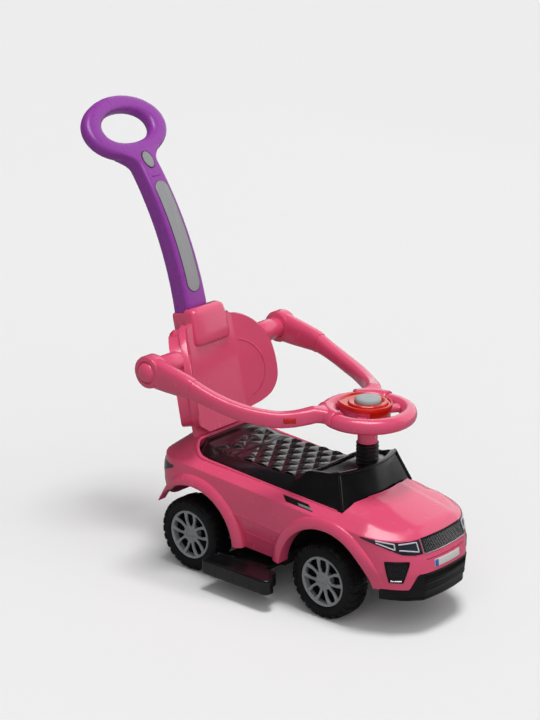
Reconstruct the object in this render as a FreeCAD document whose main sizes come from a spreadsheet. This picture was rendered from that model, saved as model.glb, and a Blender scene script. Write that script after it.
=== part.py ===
"""Foot-to-floor push car with a parent handle, guard arms and a storage seat.

Millimetres. X points to the front of the car, Y to its left side, Z up.
The origin lies on the floor under the middle of the car's length.
"""
import FreeCAD
import Part
import Sketcher
import math
import os
from FreeCAD import Placement, Rotation, Vector

doc = FreeCAD.newDocument("push_car")
sheet = doc.addObject("Spreadsheet::Sheet", "Sizes")

SIZES = {
    # wheels and axles
    "rear_axle_place": -98, "wheelbase": 338, "wheel_radius": 75, "wheel_width": 50, "wheel_side": 132,
    "rim_radius": 49.5, "rim_depth": 18, "rim_ring": 6, "rim_plate": 6, "rim_dish": 3, "hub_radius": 14,
    "tyre_web": 8, "tyre_shoulder": 5, "tyre_bead": 6.5, "tyre_wall": 20,
    "window_inner": 20, "window_outer": 42, "window_inner_half": 6, "window_outer_half": 16,
    "slot_inner": 24, "slot_inner_half": 1.5, "slot_outer_half": 5,
    "axle_radius": 5, "nut_radius": 9, "nut_thick": 6, "nut_cap": 1.5, "running_gap": 0.05, "side_gap": 0.3,
    # body levels: each is a plane from the tail to the nose
    "sill_tail_height": 92, "sill_nose_height": 68, "sill_half": 117, "sill_tail_in": 10, "sill_nose_in": 8,
    "rocker_tail_height": 138, "rocker_nose_height": 90, "rocker_half": 126,
    "rocker_tail_in": 3, "rocker_nose_in": 2,
    "fold_tail_height": 168, "fold_nose_height": 122, "fold_half": 130, "fold_tail_in": 1, "fold_nose_in": 0,
    "waist_tail_height": 196, "waist_nose_height": 156, "waist_half": 131,
    "waist_tail_in": 0, "waist_nose_in": 3,
    "shoulder_tail_height": 226, "shoulder_nose_height": 186, "shoulder_half": 129,
    "shoulder_tail_in": 5, "shoulder_nose_in": 18,
    "belt_tail_height": 238, "belt_nose_height": 204, "belt_half": 105,
    "belt_tail_in": 16, "belt_nose_in": 30,
    "deck_tail_height": 256, "deck_nose_height": 222, "deck_half": 80, "deck_tail_in": 34, "deck_nose_in": 60,
    "tail_behind": 100, "nose_ahead": 194, "tail_corner": 60, "nose_bow_half": 58, "nose_bow": 5,
    "nose_corner_ahead": 78, "body_wall": 3,
    # bonnet, wheel arches and the opening for the seat
    "bonnet_back_ahead": 47, "bonnet_back_height": 229, "bonnet_lip_ahead": 167, "bonnet_lip_height": 192,
    "bonnet_crown": 420, "arch_radius": 107, "front_arch_ahead": 5.5, "rear_arch_ahead": 12,
    "arch_height": 74, "flare_band": 22, "flare_lip": 7, "flare_side": 139, "flare_root_side": 112,
    "flare_foot": 86, "flare_tail_foot": 126, "opening_back": 28, "opening_back_half": 55,
    "opening_front_ahead": 27, "opening_bow": 20, "rim_drop": 1,
    # chassis
    "floor_height": 86, "floor_thick": 3, "spine_half": 54, "floor_start": 84, "floor_end": 224,
    "spine_back": 82, "spine_front_ahead": 160, "axle_boss_radius": 12, "bracket_radius": 10,
    "bush_radius": 9, "bush_flange": 14, "bush_flange_thick": 3,
    "screw_radius": 2, "screw_head": 4, "screw_inset": 6, "screw_side": 40,
    # footrests
    "step_top": 66, "step_thick": 30, "step_start": 80, "step_end": 257, "step_out": 186, "step_in": 134,
    "step_corner": 34, "step_wall": 3, "toe_start": 235, "toe_in": 172,
    "tongue_start": 100, "tongue_end": 204, "tongue_in": 50, "tongue_thick": 8,
    "guide_wall": 3, "guide_half": 86,
    # seat and storage bin
    "seat_top": 242, "seat_side_rise": 14, "seat_top_half": 80, "seat_end": 232, "seat_wall": 3,
    "upstand_top": 250, "upstand_front": 4, "upstand_foot": 52, "lid_start": 66, "lid_end": 226,
    "lid_half": 74, "lid_thick": 12, "ledge": 7, "ledge_thick": 3, "bin_floor": 96, "bin_wall": 2.5,
    "hinge_radius": 2, "hinge_barrel": 4.5,
    # dashboard and column
    "dash_top": 280, "dash_top_half": 81, "dash_top_start": 248, "dash_top_front": 341, "dash_top_bow": 11,
    "dash_seat_height": 243, "dash_pad_height": 262, "dash_pad_place": 252, "dash_rim_place": 328,
    "dash_rim_height": 271, "sleeve_radius": 22, "sleeve_top": 317, "sleeve_floor": 288,
    "column_radius": 19, "column_foot": 292, "rod_radius": 6, "rod_top": 346,
    # steering wheel
    "ring_height": 375, "ring_radius": 77, "ring_tube": 14.8, "hub_outer": 36, "hub_wall": 4,
    "hub_floor": 352, "hub_top": 388, "spoke_angle": 66, "spoke_width": 22, "spoke_thick": 12,
    "panel_thick": 8, "panel_back": 57, "panel_back_half": 28, "panel_waist": 38, "panel_waist_half": 37,
    "panel_front": 46, "panel_boss": 37.5, "panel_boss_rise": 3, "horn_radius": 25, "horn_rise": 7,
    "horn_flange": 28, "horn_flange_thick": 3, "horn_travel": 3, "board_height": 372, "board_thick": 1.6,
    "speaker_radius": 12, "speaker_thick": 4, "cell_radius": 5.8, "cell_thick": 5.4, "door_thick": 2,
    "column_screw_height": 331,
    # backrest, measured in its own tilted frame; a share is a part of its height
    "back_foot": 20, "back_foot_rise": 10.3, "back_tilt": 11.5, "panel_half": 72, "wing_half": 121,
    "wing_reach": 50, "back_thick": 26, "back_split": 14, "back_wall": 3, "back_height": 198,
    "back_foot_half": 66, "back_low_half": 108, "low_share": 0.12, "side_low_share": 0.4,
    "side_high_share": 0.565, "back_high_half": 105, "high_share": 0.86, "back_top_half": 52,
    "head_half": 42, "head_low_share": 0.85, "head_high_share": 1.2, "head_proud": 8, "socket_wall": 5,
    "socket_share": 0.485, "plug_half": 70, "plug_depth": 30, "head_round": 9,
    # guard arms; a rise is a share of the way from the steering ring up to the pivot
    "pivot_place": 39, "pivot_share": 0.803, "knuckle_radius": 32, "knuckle_in": 173, "knuckle_out": 204,
    "boss_radius": 22, "boss_root": 106, "bolt_radius": 4, "bolt_head": 7.5, "bolt_head_thick": 4.5,
    "bolt_sink": 9, "cap_radius": 19, "cap_dome": 7, "arm_half_width": 14, "arm_half_height": 16.5,
    "arm_root_height": 29, "clip_angle": 123, "clip_half_angle": 7, "clip_wall": 4.5, "clip_gap": 0.7,
    "arm_neck_height": 22, "arm_a_place": 55, "arm_a_side": 187, "arm_a_rise": 0.74,
    "arm_b_place": 120, "arm_b_side": 178, "arm_b_rise": 0.37,
    "arm_c_place": 180, "arm_c_side": 162, "arm_c_rise": 0.09,
    "arm_e_place": 232, "arm_e_side": 135, "arm_e_rise": -0.04,
    "arm_f_place": 266, "arm_f_side": 106, "arm_f_rise": 0.04,
    "clip_stem": 27, "clip_rise": 9, "latch_length": 22, "latch_height": 9, "latch_deep": 8,
    "latch_proud": 1.2, "latch_travel": 2.5,
    # push handle
    "grip_wide": 58, "grip_deep": 38, "grip_corner": 10, "handle_back": 45,
    "handle_bend": 670, "handle_sweep": 27, "ring_wide": 213, "ring_long": 139, "ring_thick": 30,
    "ring_band": 42.5, "ring_foot": 34, "ring_edge": 12, "neck_wide": 104, "neck_length": 20,
    "label_thick": 0.8, "label_glue": 0.1, "label_wide": 34, "label_start": 3, "label_end": 22,
    # lamps, grilles and trim
    "trim_proud": 0.8, "trim_deep": 1.6, "grille_half": 62, "grille_low": 163, "grille_high": 189,
    "grille_edge": 4, "plate_half": 38, "plate_low": 130, "plate_high": 145,
    "bumper_half": 74, "bumper_back_ahead": 114, "bumper_mid_high": 124,
    "bumper_side_high": 92, "bumper_side_half": 88,
    "lamp_inner": 66, "lamp_low": 165, "lamp_high": 190, "lamp_tip_ahead": 86, "lamp_tip_height": 193,
    "lamp_knee_ahead": 150, "lamp_knee_side": 100, "lamp_knee_height": 168,
    "fog_inner_ahead": 174, "fog_inner": 90, "fog_outer_ahead": 139, "fog_outer": 122,
    "fog_foot_ahead": 167, "fog_foot": 100, "fog_heel_ahead": 147, "fog_heel": 119,
    "fog_low": 107, "fog_high": 149,
    "vent_start": 227, "vent_end": 308, "vent_high": 215, "vent_tip": 208.5, "vent_low": 206,
    "vent_heel": 210, "vent_front_slant": 20, "vent_back_slant": 15,
    "tail_lamp_low": 186, "tail_lamp_high": 214, "tail_lamp_place": 40,
    "tail_lamp_inner": 60,
}

for row, (alias, number) in enumerate(SIZES.items(), start=1):
    sheet.set(f"A{row}", alias)
    sheet.set(f"B{row}", str(number))
    sheet.setAlias(f"B{row}", alias)
doc.recompute()


class Size:
    """A length together with the sheet formula that gives it."""

    def __init__(self, value, text):
        self.value = value
        self.text = text

    def __float__(self):
        return float(self.value)

    def __add__(self, other):
        return joined(self, "+", other)

    def __radd__(self, other):
        return joined(other, "+", self)

    def __sub__(self, other):
        return joined(self, "-", other)

    def __rsub__(self, other):
        return joined(other, "-", self)

    def __mul__(self, other):
        return joined(self, "*", other)

    def __rmul__(self, other):
        return joined(other, "*", self)

    def __truediv__(self, other):
        return joined(self, "/", other)

    def __neg__(self):
        return joined(0, "-", self)


def as_size(thing):
    return thing if isinstance(thing, Size) else Size(thing, f"({thing})")


def joined(left, sign, right):
    """The sum, difference, product or ratio of two sizes, as a size."""
    left = as_size(left)
    right = as_size(right)
    if sign == "+":
        value = left.value + right.value
    elif sign == "-":
        value = left.value - right.value
    elif sign == "*":
        value = left.value * right.value
    else:
        value = left.value / right.value
    return Size(value, f"({left.text} {sign} {right.text})")


class SizeBook:
    """Gives each sheet cell as a size, by its alias."""

    def __getattr__(self, alias):
        return Size(sheet.get(alias), f"Sizes.{alias}")


d = SizeBook()
rear_axle = d.rear_axle_place
front_axle = d.rear_axle_place + d.wheelbase
axle_height = d.wheel_radius
wheel_inner_side = d.wheel_side - d.wheel_width
floor_top = d.floor_height + d.floor_thick

UP = Rotation()
FORWARD = Rotation(Vector(0, 1, 0), 90)
TO_LEFT = Rotation(Vector(1, 0, 0), -90)
TO_RIGHT = Rotation(Vector(1, 0, 0), 90)
SIDES = {"left": 1, "right": -1}
parts = {}


def bind(thing, name, size):
    """Sets a property from a size's formula, or from a plain number."""
    if isinstance(size, Size):
        thing.setExpression(name, size.text)
    else:
        setattr(thing, name, size)


def place(thing, x, y, z, turn=UP):
    thing.Placement = Placement(Vector(float(x), float(y), float(z)), turn)
    for letter, where in zip("xyz", (x, y, z)):
        if isinstance(where, Size):
            thing.setExpression("Placement.Base." + letter, where.text)
    return thing


def box(name, x_span, y_span, z_span):
    block = doc.addObject("Part::Box", name)
    for side, span in zip(("Length", "Width", "Height"), (x_span, y_span, z_span)):
        bind(block, side, span[1] - span[0])
    return place(block, x_span[0], y_span[0], z_span[0])


def rod(name, radius, length, start, turn=UP):
    bar = doc.addObject("Part::Cylinder", name)
    bind(bar, "Radius", radius)
    bind(bar, "Height", length)
    return place(bar, *start, turn)


def cut(name, base, *tools):
    for count, tool in enumerate(tools):
        step = doc.addObject("Part::Cut", name if count == len(tools) - 1 else f"{name}_step")
        step.Base = base
        step.Tool = tool
        base = step
    return base


def fuse(name, *pieces):
    whole = doc.addObject("Part::MultiFuse", name)
    whole.Shapes = list(pieces)
    return whole


def group(name, *pieces):
    """Separate solids that share one node."""
    whole = doc.addObject("Part::Compound", name)
    whole.Links = list(pieces)
    return whole


def solid(name, shape):
    """A sculpted piece whose shape is worked out from the sheet."""
    piece = doc.addObject("Part::Feature", name)
    piece.Shape = shape
    return piece


def part(node, piece):
    piece.Label = node
    parts[node] = piece
    return piece


def outline_sketch(body, role, outlines):
    """A sketch of closed outlines whose corners are bound to the sheet."""
    sketch = body.newObject("Sketcher::SketchObject", body.Name + "_outline")
    plane = next(item for item in body.Origin.OriginFeatures if item.Role == role)
    sketch.AttachmentSupport = [(plane, "")]
    sketch.MapMode = "FlatFace"
    for corners in outlines:
        first = sketch.GeometryCount
        count = len(corners)
        points = [Vector(float(u), float(v), 0) for u, v in corners]
        for index in range(count):
            sketch.addGeometry(Part.LineSegment(points[index], points[(index + 1) % count]))
        for index in range(count):
            follower = first + (index + 1) % count
            sketch.addConstraint(Sketcher.Constraint("Coincident", first + index, 2, follower, 1))
        for index, corner in enumerate(corners):
            for kind, where in zip(("DistanceX", "DistanceY"), corner):
                rule = Sketcher.Constraint(kind, -1, 1, first + index, 1, float(where))
                number = sketch.addConstraint(rule)
                if isinstance(where, Size):
                    sketch.setExpression(f"Constraints[{number}]", where.text)
    return sketch


def lathe(name, profile, start, turn=UP):
    """A turned piece: the profile's corners are radius and height."""
    body = doc.addObject("PartDesign::Body", name)
    sketch = outline_sketch(body, "XZ_Plane", [profile])
    turned = body.newObject("PartDesign::Revolution", name + "_turned")
    turned.Profile = sketch
    turned.ReferenceAxis = (sketch, ["V_Axis"])
    turned.Angle = 360
    return place(body, *start, turn)


def plate(name, outline, thickness, start, turn=UP):
    """A flat piece: the outline's corners are X and Y, the thickness goes up."""
    body = doc.addObject("PartDesign::Body", name)
    sketch = outline_sketch(body, "XY_Plane", [outline])
    pad = body.newObject("PartDesign::Pad", name + "_pad")
    pad.Profile = sketch
    bind(pad, "Length", thickness)
    return place(body, *start, turn)


# Wheels: a blow-moulded tyre with a grey spoked cover, free on the axle behind a push-on cap nut.
nut_face = d.rim_depth - d.side_gap
axle_half = d.wheel_side - nut_face + d.nut_thick - d.nut_cap


def tyre(name, start, turn):
    bore = d.axle_radius + d.running_gap
    seat = d.rim_radius + d.side_gap
    web_back = d.rim_depth + d.tyre_web
    bead = d.rim_radius + d.tyre_bead
    barrel = d.wheel_radius - d.tyre_wall
    tread = d.wheel_radius - d.tyre_shoulder
    profile = [
        (bore, d.rim_depth), (seat, d.rim_depth), (seat, d.rim_dish), (bead, 0.0), (tread, 0.0),
        (d.wheel_radius, d.tyre_shoulder), (d.wheel_radius, d.wheel_width - d.tyre_shoulder),
        (tread, d.wheel_width), (barrel, d.wheel_width), (barrel, web_back),
        (d.hub_radius, web_back), (d.hub_radius, d.wheel_width), (bore, d.wheel_width),
    ]
    return lathe(name, profile, start, turn)


def rim(name, start, turn):
    ring = d.rim_radius - d.rim_ring
    back = d.rim_dish + d.rim_plate
    profile = [
        (0.0, d.rim_dish), (ring, d.rim_dish), (ring, d.rim_dish / 3), (d.rim_radius, d.rim_dish / 3),
        (d.rim_radius, d.rim_depth), (ring, d.rim_depth), (ring, back), (0.0, back),
    ]
    body = lathe(name, profile, start, turn)
    window = [
        (d.window_inner, -d.window_inner_half), (d.window_outer, -d.window_outer_half),
        (d.window_outer, d.window_outer_half), (d.window_inner, d.window_inner_half),
    ]
    slot = [
        (-d.slot_inner, d.slot_inner_half), (-d.window_outer, d.slot_outer_half),
        (-d.window_outer, -d.slot_outer_half), (-d.slot_inner, -d.slot_inner_half),
    ]
    doc.recompute()
    whole = body.Shape.Volume
    windows = outline_sketch(body, "XY_Plane", [window, slot])
    pocket = body.newObject("PartDesign::Pocket", name + "_window")
    pocket.Profile = windows
    pocket.Type = "ThroughAll"
    pocket.Reversed = True
    around = body.newObject("PartDesign::PolarPattern", name + "_windows")
    around.Originals = [pocket]
    axis = next(item for item in body.Origin.OriginFeatures if item.Role == "Z_Axis")
    around.Axis = (axis, [""])
    around.Angle = 360
    around.Occurrences = 5
    body.Tip = around
    doc.recompute()
    if body.Shape.Volume > 0.9 * whole:
        raise RuntimeError(f"{name}: the spoke windows cut nothing")
    return body


def axle_nut(name, start, turn):
    front = nut_face - d.nut_thick
    profile = [
        (0.0, front), (d.nut_radius, front), (d.nut_radius, nut_face), (d.axle_radius, nut_face),
        (d.axle_radius, front + d.nut_cap), (0.0, front + d.nut_cap),
    ]
    return lathe(name, profile, start, turn)


for end, axle_place in (("front", front_axle), ("rear", rear_axle)):
    nuts = []
    for side, sign in SIDES.items():
        inward = TO_RIGHT if sign > 0 else TO_LEFT
        face = (axle_place, sign * d.wheel_side, axle_height)
        part(f"tyre_{end}_{side}", tyre(f"tyre_{end}_{side}", face, inward))
        part(f"rim_{end}_{side}", rim(f"rim_{end}_{side}", face, inward))
        nuts.append(axle_nut(f"nut_{end}_{side}", face, inward))
    part(f"{end}_axle_nuts", group(f"{end}_axle_nuts", *nuts))
    bar = rod(f"{end}_axle", d.axle_radius, 2 * axle_half, (axle_place, -axle_half, axle_height), TO_LEFT)
    part(f"{end}_axle", bar)


# Body shell: lofted through level outlines, open below and open above the seat.
LEVELS = ("sill", "rocker", "fold", "waist", "shoulder", "belt", "deck")
tail_x = float(rear_axle - d.tail_behind)
nose_x = float(front_axle + d.nose_ahead)


def level_height(level, x, lift=0.0):
    tail = float(getattr(d, level + "_tail_height"))
    nose = float(getattr(d, level + "_nose_height"))
    return tail + (nose - tail) * (x - tail_x) / (nose_x - tail_x) + lift


def level_wire(level, inset, lift=0.0):
    """One level's outline, drawn inwards by inset: bowed nose, round corners, straight sides."""
    half = float(getattr(d, level + "_half")) - inset
    tail = tail_x + float(getattr(d, level + "_tail_in")) + inset
    nose = nose_x - float(getattr(d, level + "_nose_in")) - inset
    corner = float(d.tail_corner) - inset
    turn_x = float(front_axle + d.nose_corner_ahead)
    bow_x = nose - float(d.nose_bow)
    bow_y = float(d.nose_bow_half)
    run = bow_x - turn_x
    depth = half - bow_y
    radius = (run * run + depth * depth) / (2 * depth)
    middle = 0.5 * (math.atan2(bow_y - half + radius, run) + math.pi / 2)
    bend = (turn_x + radius * math.cos(middle), half - radius + radius * math.sin(middle))
    heel = corner * (1 - math.sqrt(0.5))

    def spot(x, y):
        return Vector(x, y, level_height(level, x, lift))

    edges = []
    for sign in (-1, 1):
        a = spot(tail, sign * (half - corner))
        b = spot(tail + corner, sign * half)
        c = spot(turn_x, sign * half)
        e = spot(bow_x, sign * bow_y)
        run_of_edges = [
            Part.Arc(a, spot(tail + heel, sign * (half - heel)), b).toShape(),
            Part.LineSegment(b, c).toShape(),
            Part.Arc(c, spot(bend[0], sign * bend[1]), e).toShape(),
        ]
        if sign < 0:
            edges += run_of_edges
            edges.append(Part.Arc(e, spot(nose, 0), spot(bow_x, bow_y)).toShape())
        else:
            edges += reversed(run_of_edges)
    edges.append(Part.LineSegment(spot(tail, half - corner), spot(tail, corner - half)).toShape())
    return Part.Wire(Part.__sortEdges__(edges))


def bonnet_tool(sink):
    """Everything above the crowned bonnet, sunk by the given depth."""
    back = Vector(float(front_axle + d.bonnet_back_ahead), 0, float(d.bonnet_back_height) - sink)
    lip = Vector(float(front_axle + d.bonnet_lip_ahead), 0, float(d.bonnet_lip_height) - sink)
    along = (lip - back).normalize()
    below = Vector(along.z, 0, -along.x)
    reach = nose_x - tail_x
    radius = float(d.bonnet_crown)
    crown = Part.makeCylinder(radius, 2 * reach, back + below * radius - along * reach, along)
    start = float(front_axle + d.opening_front_ahead) - float(d.opening_bow)
    size = Vector(reach, 2 * float(d.waist_half), float(d.bonnet_back_height))
    block = Part.makeBox(size.x, size.y * 2, size.z, Vector(start, -size.y, lip.z - size.z / 3))
    return block.cut(crown)


def body_form(inset, floor_drop=0.0):
    wires = [level_wire("sill", inset, -floor_drop)] if floor_drop else []
    wires += [level_wire(level, inset) for level in LEVELS[:-1]]
    wires.append(level_wire("deck", inset, -inset))
    return Part.makeLoft(wires, True, True).cut(bonnet_tool(inset))


def opening_tool():
    """The gap over the seat and dashboard, standing on the belt and open to both sides."""
    back = float(rear_axle - d.opening_back)
    back_half = float(d.opening_back_half)
    side = float(d.belt_half)
    corner = side - back_half
    start = back + corner
    skew = corner * (1 - math.sqrt(0.5))
    beyond = 2 * float(d.waist_half)
    front = float(front_axle + d.opening_front_ahead)
    bow = float(d.opening_bow)

    def spot(x, y):
        return Vector(x, y, level_height("belt", x, -float(d.rim_drop)))

    edges = [
        Part.LineSegment(spot(back, -back_half), spot(back, back_half)).toShape(),
        Part.Arc(spot(front, -side), spot(front + bow, 0), spot(front, side)).toShape(),
    ]
    for sign in (-1, 1):
        knee = spot(back + skew, sign * (side - skew))
        edges += [
            Part.Arc(spot(back, sign * back_half), knee, spot(start, sign * side)).toShape(),
            Part.LineSegment(spot(start, sign * side), spot(start, sign * beyond)).toShape(),
            Part.LineSegment(spot(start, sign * beyond), spot(front, sign * beyond)).toShape(),
            Part.LineSegment(spot(front, sign * beyond), spot(front, sign * side)).toShape(),
        ]
    return Part.Face(Part.Wire(Part.__sortEdges__(edges))).extrude(Vector(0, 0, float(d.dash_top)))


def flare(place_x, back_foot):
    """A wheel-arch band, turned about the arch axis and cut off at its two feet."""
    inner = float(d.arch_radius)
    band = float(d.flare_band)
    root = float(d.flare_root_side)
    out = float(d.flare_side)
    lip = float(d.flare_lip)
    outer = inner + band
    profile = [(inner, root), (inner, out), (inner + lip, out), (outer, out - lip), (outer, root)]
    points = [Vector(place_x, y, float(d.arch_height) + r) for r, y in profile]
    face = Part.Face(Part.makePolygon(points + points[:1]))
    ring = face.revolve(Vector(place_x, 0, float(d.arch_height)), Vector(0, 1, 0), 360)
    span = 2 * outer
    front = Part.makeBox(span, 2 * out, span, Vector(place_x, 0, float(d.flare_foot) - span))
    back = Part.makeBox(span, 2 * out, span, Vector(place_x - span, 0, back_foot - span))
    return ring.cut(front).cut(back)


shell = body_form(0.0).cut(body_form(float(d.body_wall), float(d.body_wall)))
shell = shell.cut(opening_tool())
arches = {
    float(front_axle + d.front_arch_ahead): float(d.flare_foot),
    float(rear_axle + d.rear_arch_ahead): float(d.flare_tail_foot),
}
for arch_x in arches:
    reach = 2 * float(d.waist_half)
    hole_start = Vector(arch_x, -reach, float(d.arch_height))
    shell = shell.cut(Part.makeCylinder(float(d.arch_radius), 2 * reach, hole_start, Vector(0, 1, 0)))
for arch_x, back_foot in arches.items():
    band = flare(arch_x, back_foot)
    shell = shell.fuse(band).fuse(band.mirror(Vector(0, 0, 0), Vector(0, 1, 0)))


# Chassis: a floor with a narrow spine over the axles, rear axle tubes and a guide for the footrests.
# Four screws from below hold it to the storage bin.
floor_half = d.flare_root_side - d.side_gap
floor_span = (d.floor_height, floor_top)
floor_x = (rear_axle + d.floor_start, rear_axle + d.floor_end)
tongue_x = (rear_axle + d.tongue_start, rear_axle + d.tongue_end)
tongue_low = d.step_top - d.tongue_thick
guide_x = (tongue_x[0] - d.side_gap, tongue_x[1] + d.side_gap)
guide_outer_x = (guide_x[0] - d.guide_wall, guide_x[1] + d.guide_wall)
guide_z = (tongue_low - d.side_gap, d.step_top + d.side_gap)
boss_half = wheel_inner_side - d.side_gap
wide_floor = box("wide_floor", floor_x, (-floor_half, floor_half), floor_span)
spine_x = (rear_axle - d.spine_back, front_axle + d.spine_front_ahead)
spine = box("spine", spine_x, (-d.spine_half, d.spine_half), floor_span)
axle_tube = rod("axle_tube", d.axle_boss_radius, 2 * boss_half, (rear_axle, -boss_half, axle_height), TO_LEFT)
guide_span = (guide_z[0] - d.guide_wall, d.floor_height)
guide = box("guide", guide_outer_x, (-d.guide_half, d.guide_half), guide_span)
guide_slot = box("guide_slot", guide_x, (-floor_half, floor_half), guide_z)
axle_bore = rod("axle_bore", d.axle_radius, 2 * boss_half, (rear_axle, -boss_half, axle_height), TO_LEFT)
bush_hole = rod("bush_hole", d.bush_radius, d.floor_thick, (front_axle, 0, d.floor_height))
lid_x = (rear_axle + d.lid_start, rear_axle + d.lid_end)
mouth_half = d.lid_half - d.ledge
mouth_x = (lid_x[0] + d.ledge + 2 * d.hinge_barrel, lid_x[1] - d.ledge)
bin_half = mouth_half + d.bin_wall
bin_x = (mouth_x[0] - d.bin_wall, mouth_x[1] + d.bin_wall)
bin_post = box("bin_post", bin_x, (-d.spine_half, d.spine_half), (floor_top, d.bin_floor - d.bin_wall))
chassis = fuse("chassis_blank", wide_floor, spine, axle_tube, guide, bin_post)

screw_rise = d.bin_floor - d.bin_wall / 2 - d.floor_height
screws = []
for index, screw_x in enumerate((guide_outer_x[0] - d.screw_inset, guide_outer_x[1] + d.screw_inset)):
    for side, sign in SIDES.items():
        start = (screw_x, sign * d.screw_side, d.floor_height)
        shank = rod(f"floor_shank_{side}_{index}", d.screw_radius, screw_rise, start)
        head_start = (screw_x, sign * d.screw_side, d.floor_height - d.screw_radius)
        head = rod(f"floor_head_{side}_{index}", d.screw_head, d.screw_radius, head_start)
        screws.append(fuse(f"floor_screw_{side}_{index}", shank, head))
part("floor_screws", group("floor_screws", *screws))
part("chassis_pan", cut("chassis_pan", chassis, guide_slot, axle_bore, bush_hole, *screws))

bush_bore = d.rod_radius + d.running_gap
bush_profile = [
    (bush_bore, 0.0), (d.bush_radius, 0.0), (d.bush_radius, d.floor_thick), (d.bush_flange, d.floor_thick),
    (d.bush_flange, d.floor_thick + d.bush_flange_thick), (bush_bore, d.floor_thick + d.bush_flange_thick),
]
part("column_bush", lathe("column_bush", bush_profile, (front_axle, 0, d.floor_height)))


# Footrests: hollow black trays on tongues that slide sideways in the chassis guide.
def footrest(name, sign):
    x0 = float(rear_axle + d.step_start)
    x1 = float(rear_axle + d.step_end)
    corner = float(d.step_corner)
    inner = float(d.step_in)
    outer = float(d.step_out)
    bottom = float(d.step_top - d.step_thick)
    skew = corner * (1 - math.sqrt(0.5))

    def tray_face(wall):
        a = Vector(x0 + wall, inner + wall, bottom)
        b = Vector(x0 + wall, outer - corner, bottom)
        c = Vector(x0 + corner, outer - wall, bottom)
        e = Vector(x1 - corner, outer - wall, bottom)
        f = Vector(x1 - wall, outer - corner, bottom)
        g = Vector(x1 - wall, inner + wall, bottom)
        lean = wall * math.sqrt(0.5)
        edges = [
            Part.LineSegment(a, b).toShape(),
            Part.Arc(b, Vector(x0 + skew + lean, outer - skew - lean, bottom), c).toShape(),
            Part.LineSegment(c, e).toShape(),
            Part.Arc(e, Vector(x1 - skew - lean, outer - skew - lean, bottom), f).toShape(),
            Part.LineSegment(f, g).toShape(),
            Part.LineSegment(g, a).toShape(),
        ]
        return Part.Face(Part.Wire(edges))

    def tray_block(wall):
        """The tray drawn inwards by a wall, its inner front corner cut back to clear the turned wheel."""
        thick = float(d.step_thick) - wall
        start = Vector(float(rear_axle + d.toe_start) - wall, inner, bottom)
        notch = Part.makeBox(x1 - start.x, float(d.toe_in) + wall - inner, thick, start)
        return tray_face(wall).extrude(Vector(0, 0, thick)).cut(notch)

    wall = float(d.step_wall)
    tray = tray_block(0.0).cut(tray_block(wall))
    tongue_size = [float(tongue_x[1] - tongue_x[0]), inner + wall - float(d.tongue_in), float(d.tongue_thick)]
    tongue = Part.makeBox(*tongue_size, Vector(float(tongue_x[0]), float(d.tongue_in), float(tongue_low)))
    shape = tray.fuse(tongue).removeSplitter()
    return solid(name, shape if sign > 0 else shape.mirror(Vector(0, 0, 0), Vector(0, 1, 0)))


for side, sign in SIDES.items():
    part(f"footrest_{side}", footrest(f"footrest_{side}", sign))


# Seat base and dashboard: hollow black mouldings that stand on the rim of the body's opening.
def deck_wire(back, front, bow, half, back_half, height):
    """An outline over the opening: back edge, round back corners, straight sides and a bowed front."""
    start = back + (half - back_half)
    skew = (half - back_half) * (1 - math.sqrt(0.5))

    def spot(x, y):
        return Vector(x, y, height(x))

    edges = []
    if back_half < half:
        for sign in (-1, 1):
            knee = spot(back + skew, sign * (half - skew))
            edges.append(Part.Arc(spot(back, sign * back_half), knee, spot(start, sign * half)).toShape())
    for sign in (-1, 1):
        edges.append(Part.LineSegment(spot(start, sign * half), spot(front, sign * half)).toShape())
    if bow:
        edges.append(Part.Arc(spot(front, -half), spot(front + bow, 0), spot(front, half)).toShape())
    else:
        edges.append(Part.LineSegment(spot(front, -half), spot(front, half)).toShape())
    edges.append(Part.LineSegment(spot(back, -back_half), spot(back, back_half)).toShape())
    return Part.Wire(Part.__sortEdges__(edges))


def rim_height(x):
    return level_height("belt", x, -float(d.rim_drop))


def side_cut(points, half):
    """A prism across the car from a side-view outline."""
    corners = [Vector(x, -half, z) for x, z in points]
    return Part.Face(Part.makePolygon(corners + corners[:1])).extrude(Vector(0, 2 * half, 0))


seat_front = float(rear_axle + d.seat_end)
seat_back = float(rear_axle - d.opening_back + d.side_gap)
wide = 2 * float(d.waist_half)
high = 2 * float(d.dash_top)


def seat_form(inset):
    half = float(d.belt_half) - inset
    top_half = float(d.seat_top_half) - inset
    back = seat_back + inset
    back_half = float(d.opening_back_half) - inset / 2
    front = seat_front - inset
    rise = float(d.seat_side_rise)
    crest = float(d.upstand_top) - inset
    lower = deck_wire(back, front, 0.0, half, back_half, rim_height)
    upper_back_half = top_half - (half - back_half)
    upper = deck_wire(back, front, 0.0, top_half, upper_back_half, lambda x: rim_height(x) + rise)
    above = deck_wire(back, front, 0.0, top_half, upper_back_half, lambda x: rim_height(x) + crest)
    form = Part.makeLoft([lower, upper, above], True, True)
    flat = float(d.seat_top) - inset
    top_line = [
        (back - wide, crest), (float(rear_axle + d.upstand_front), crest),
        (float(rear_axle + d.upstand_foot), flat), (front + wide, flat),
        (front + wide, high), (back - wide, high),
    ]
    return form.cut(side_cut(top_line, wide))


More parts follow.
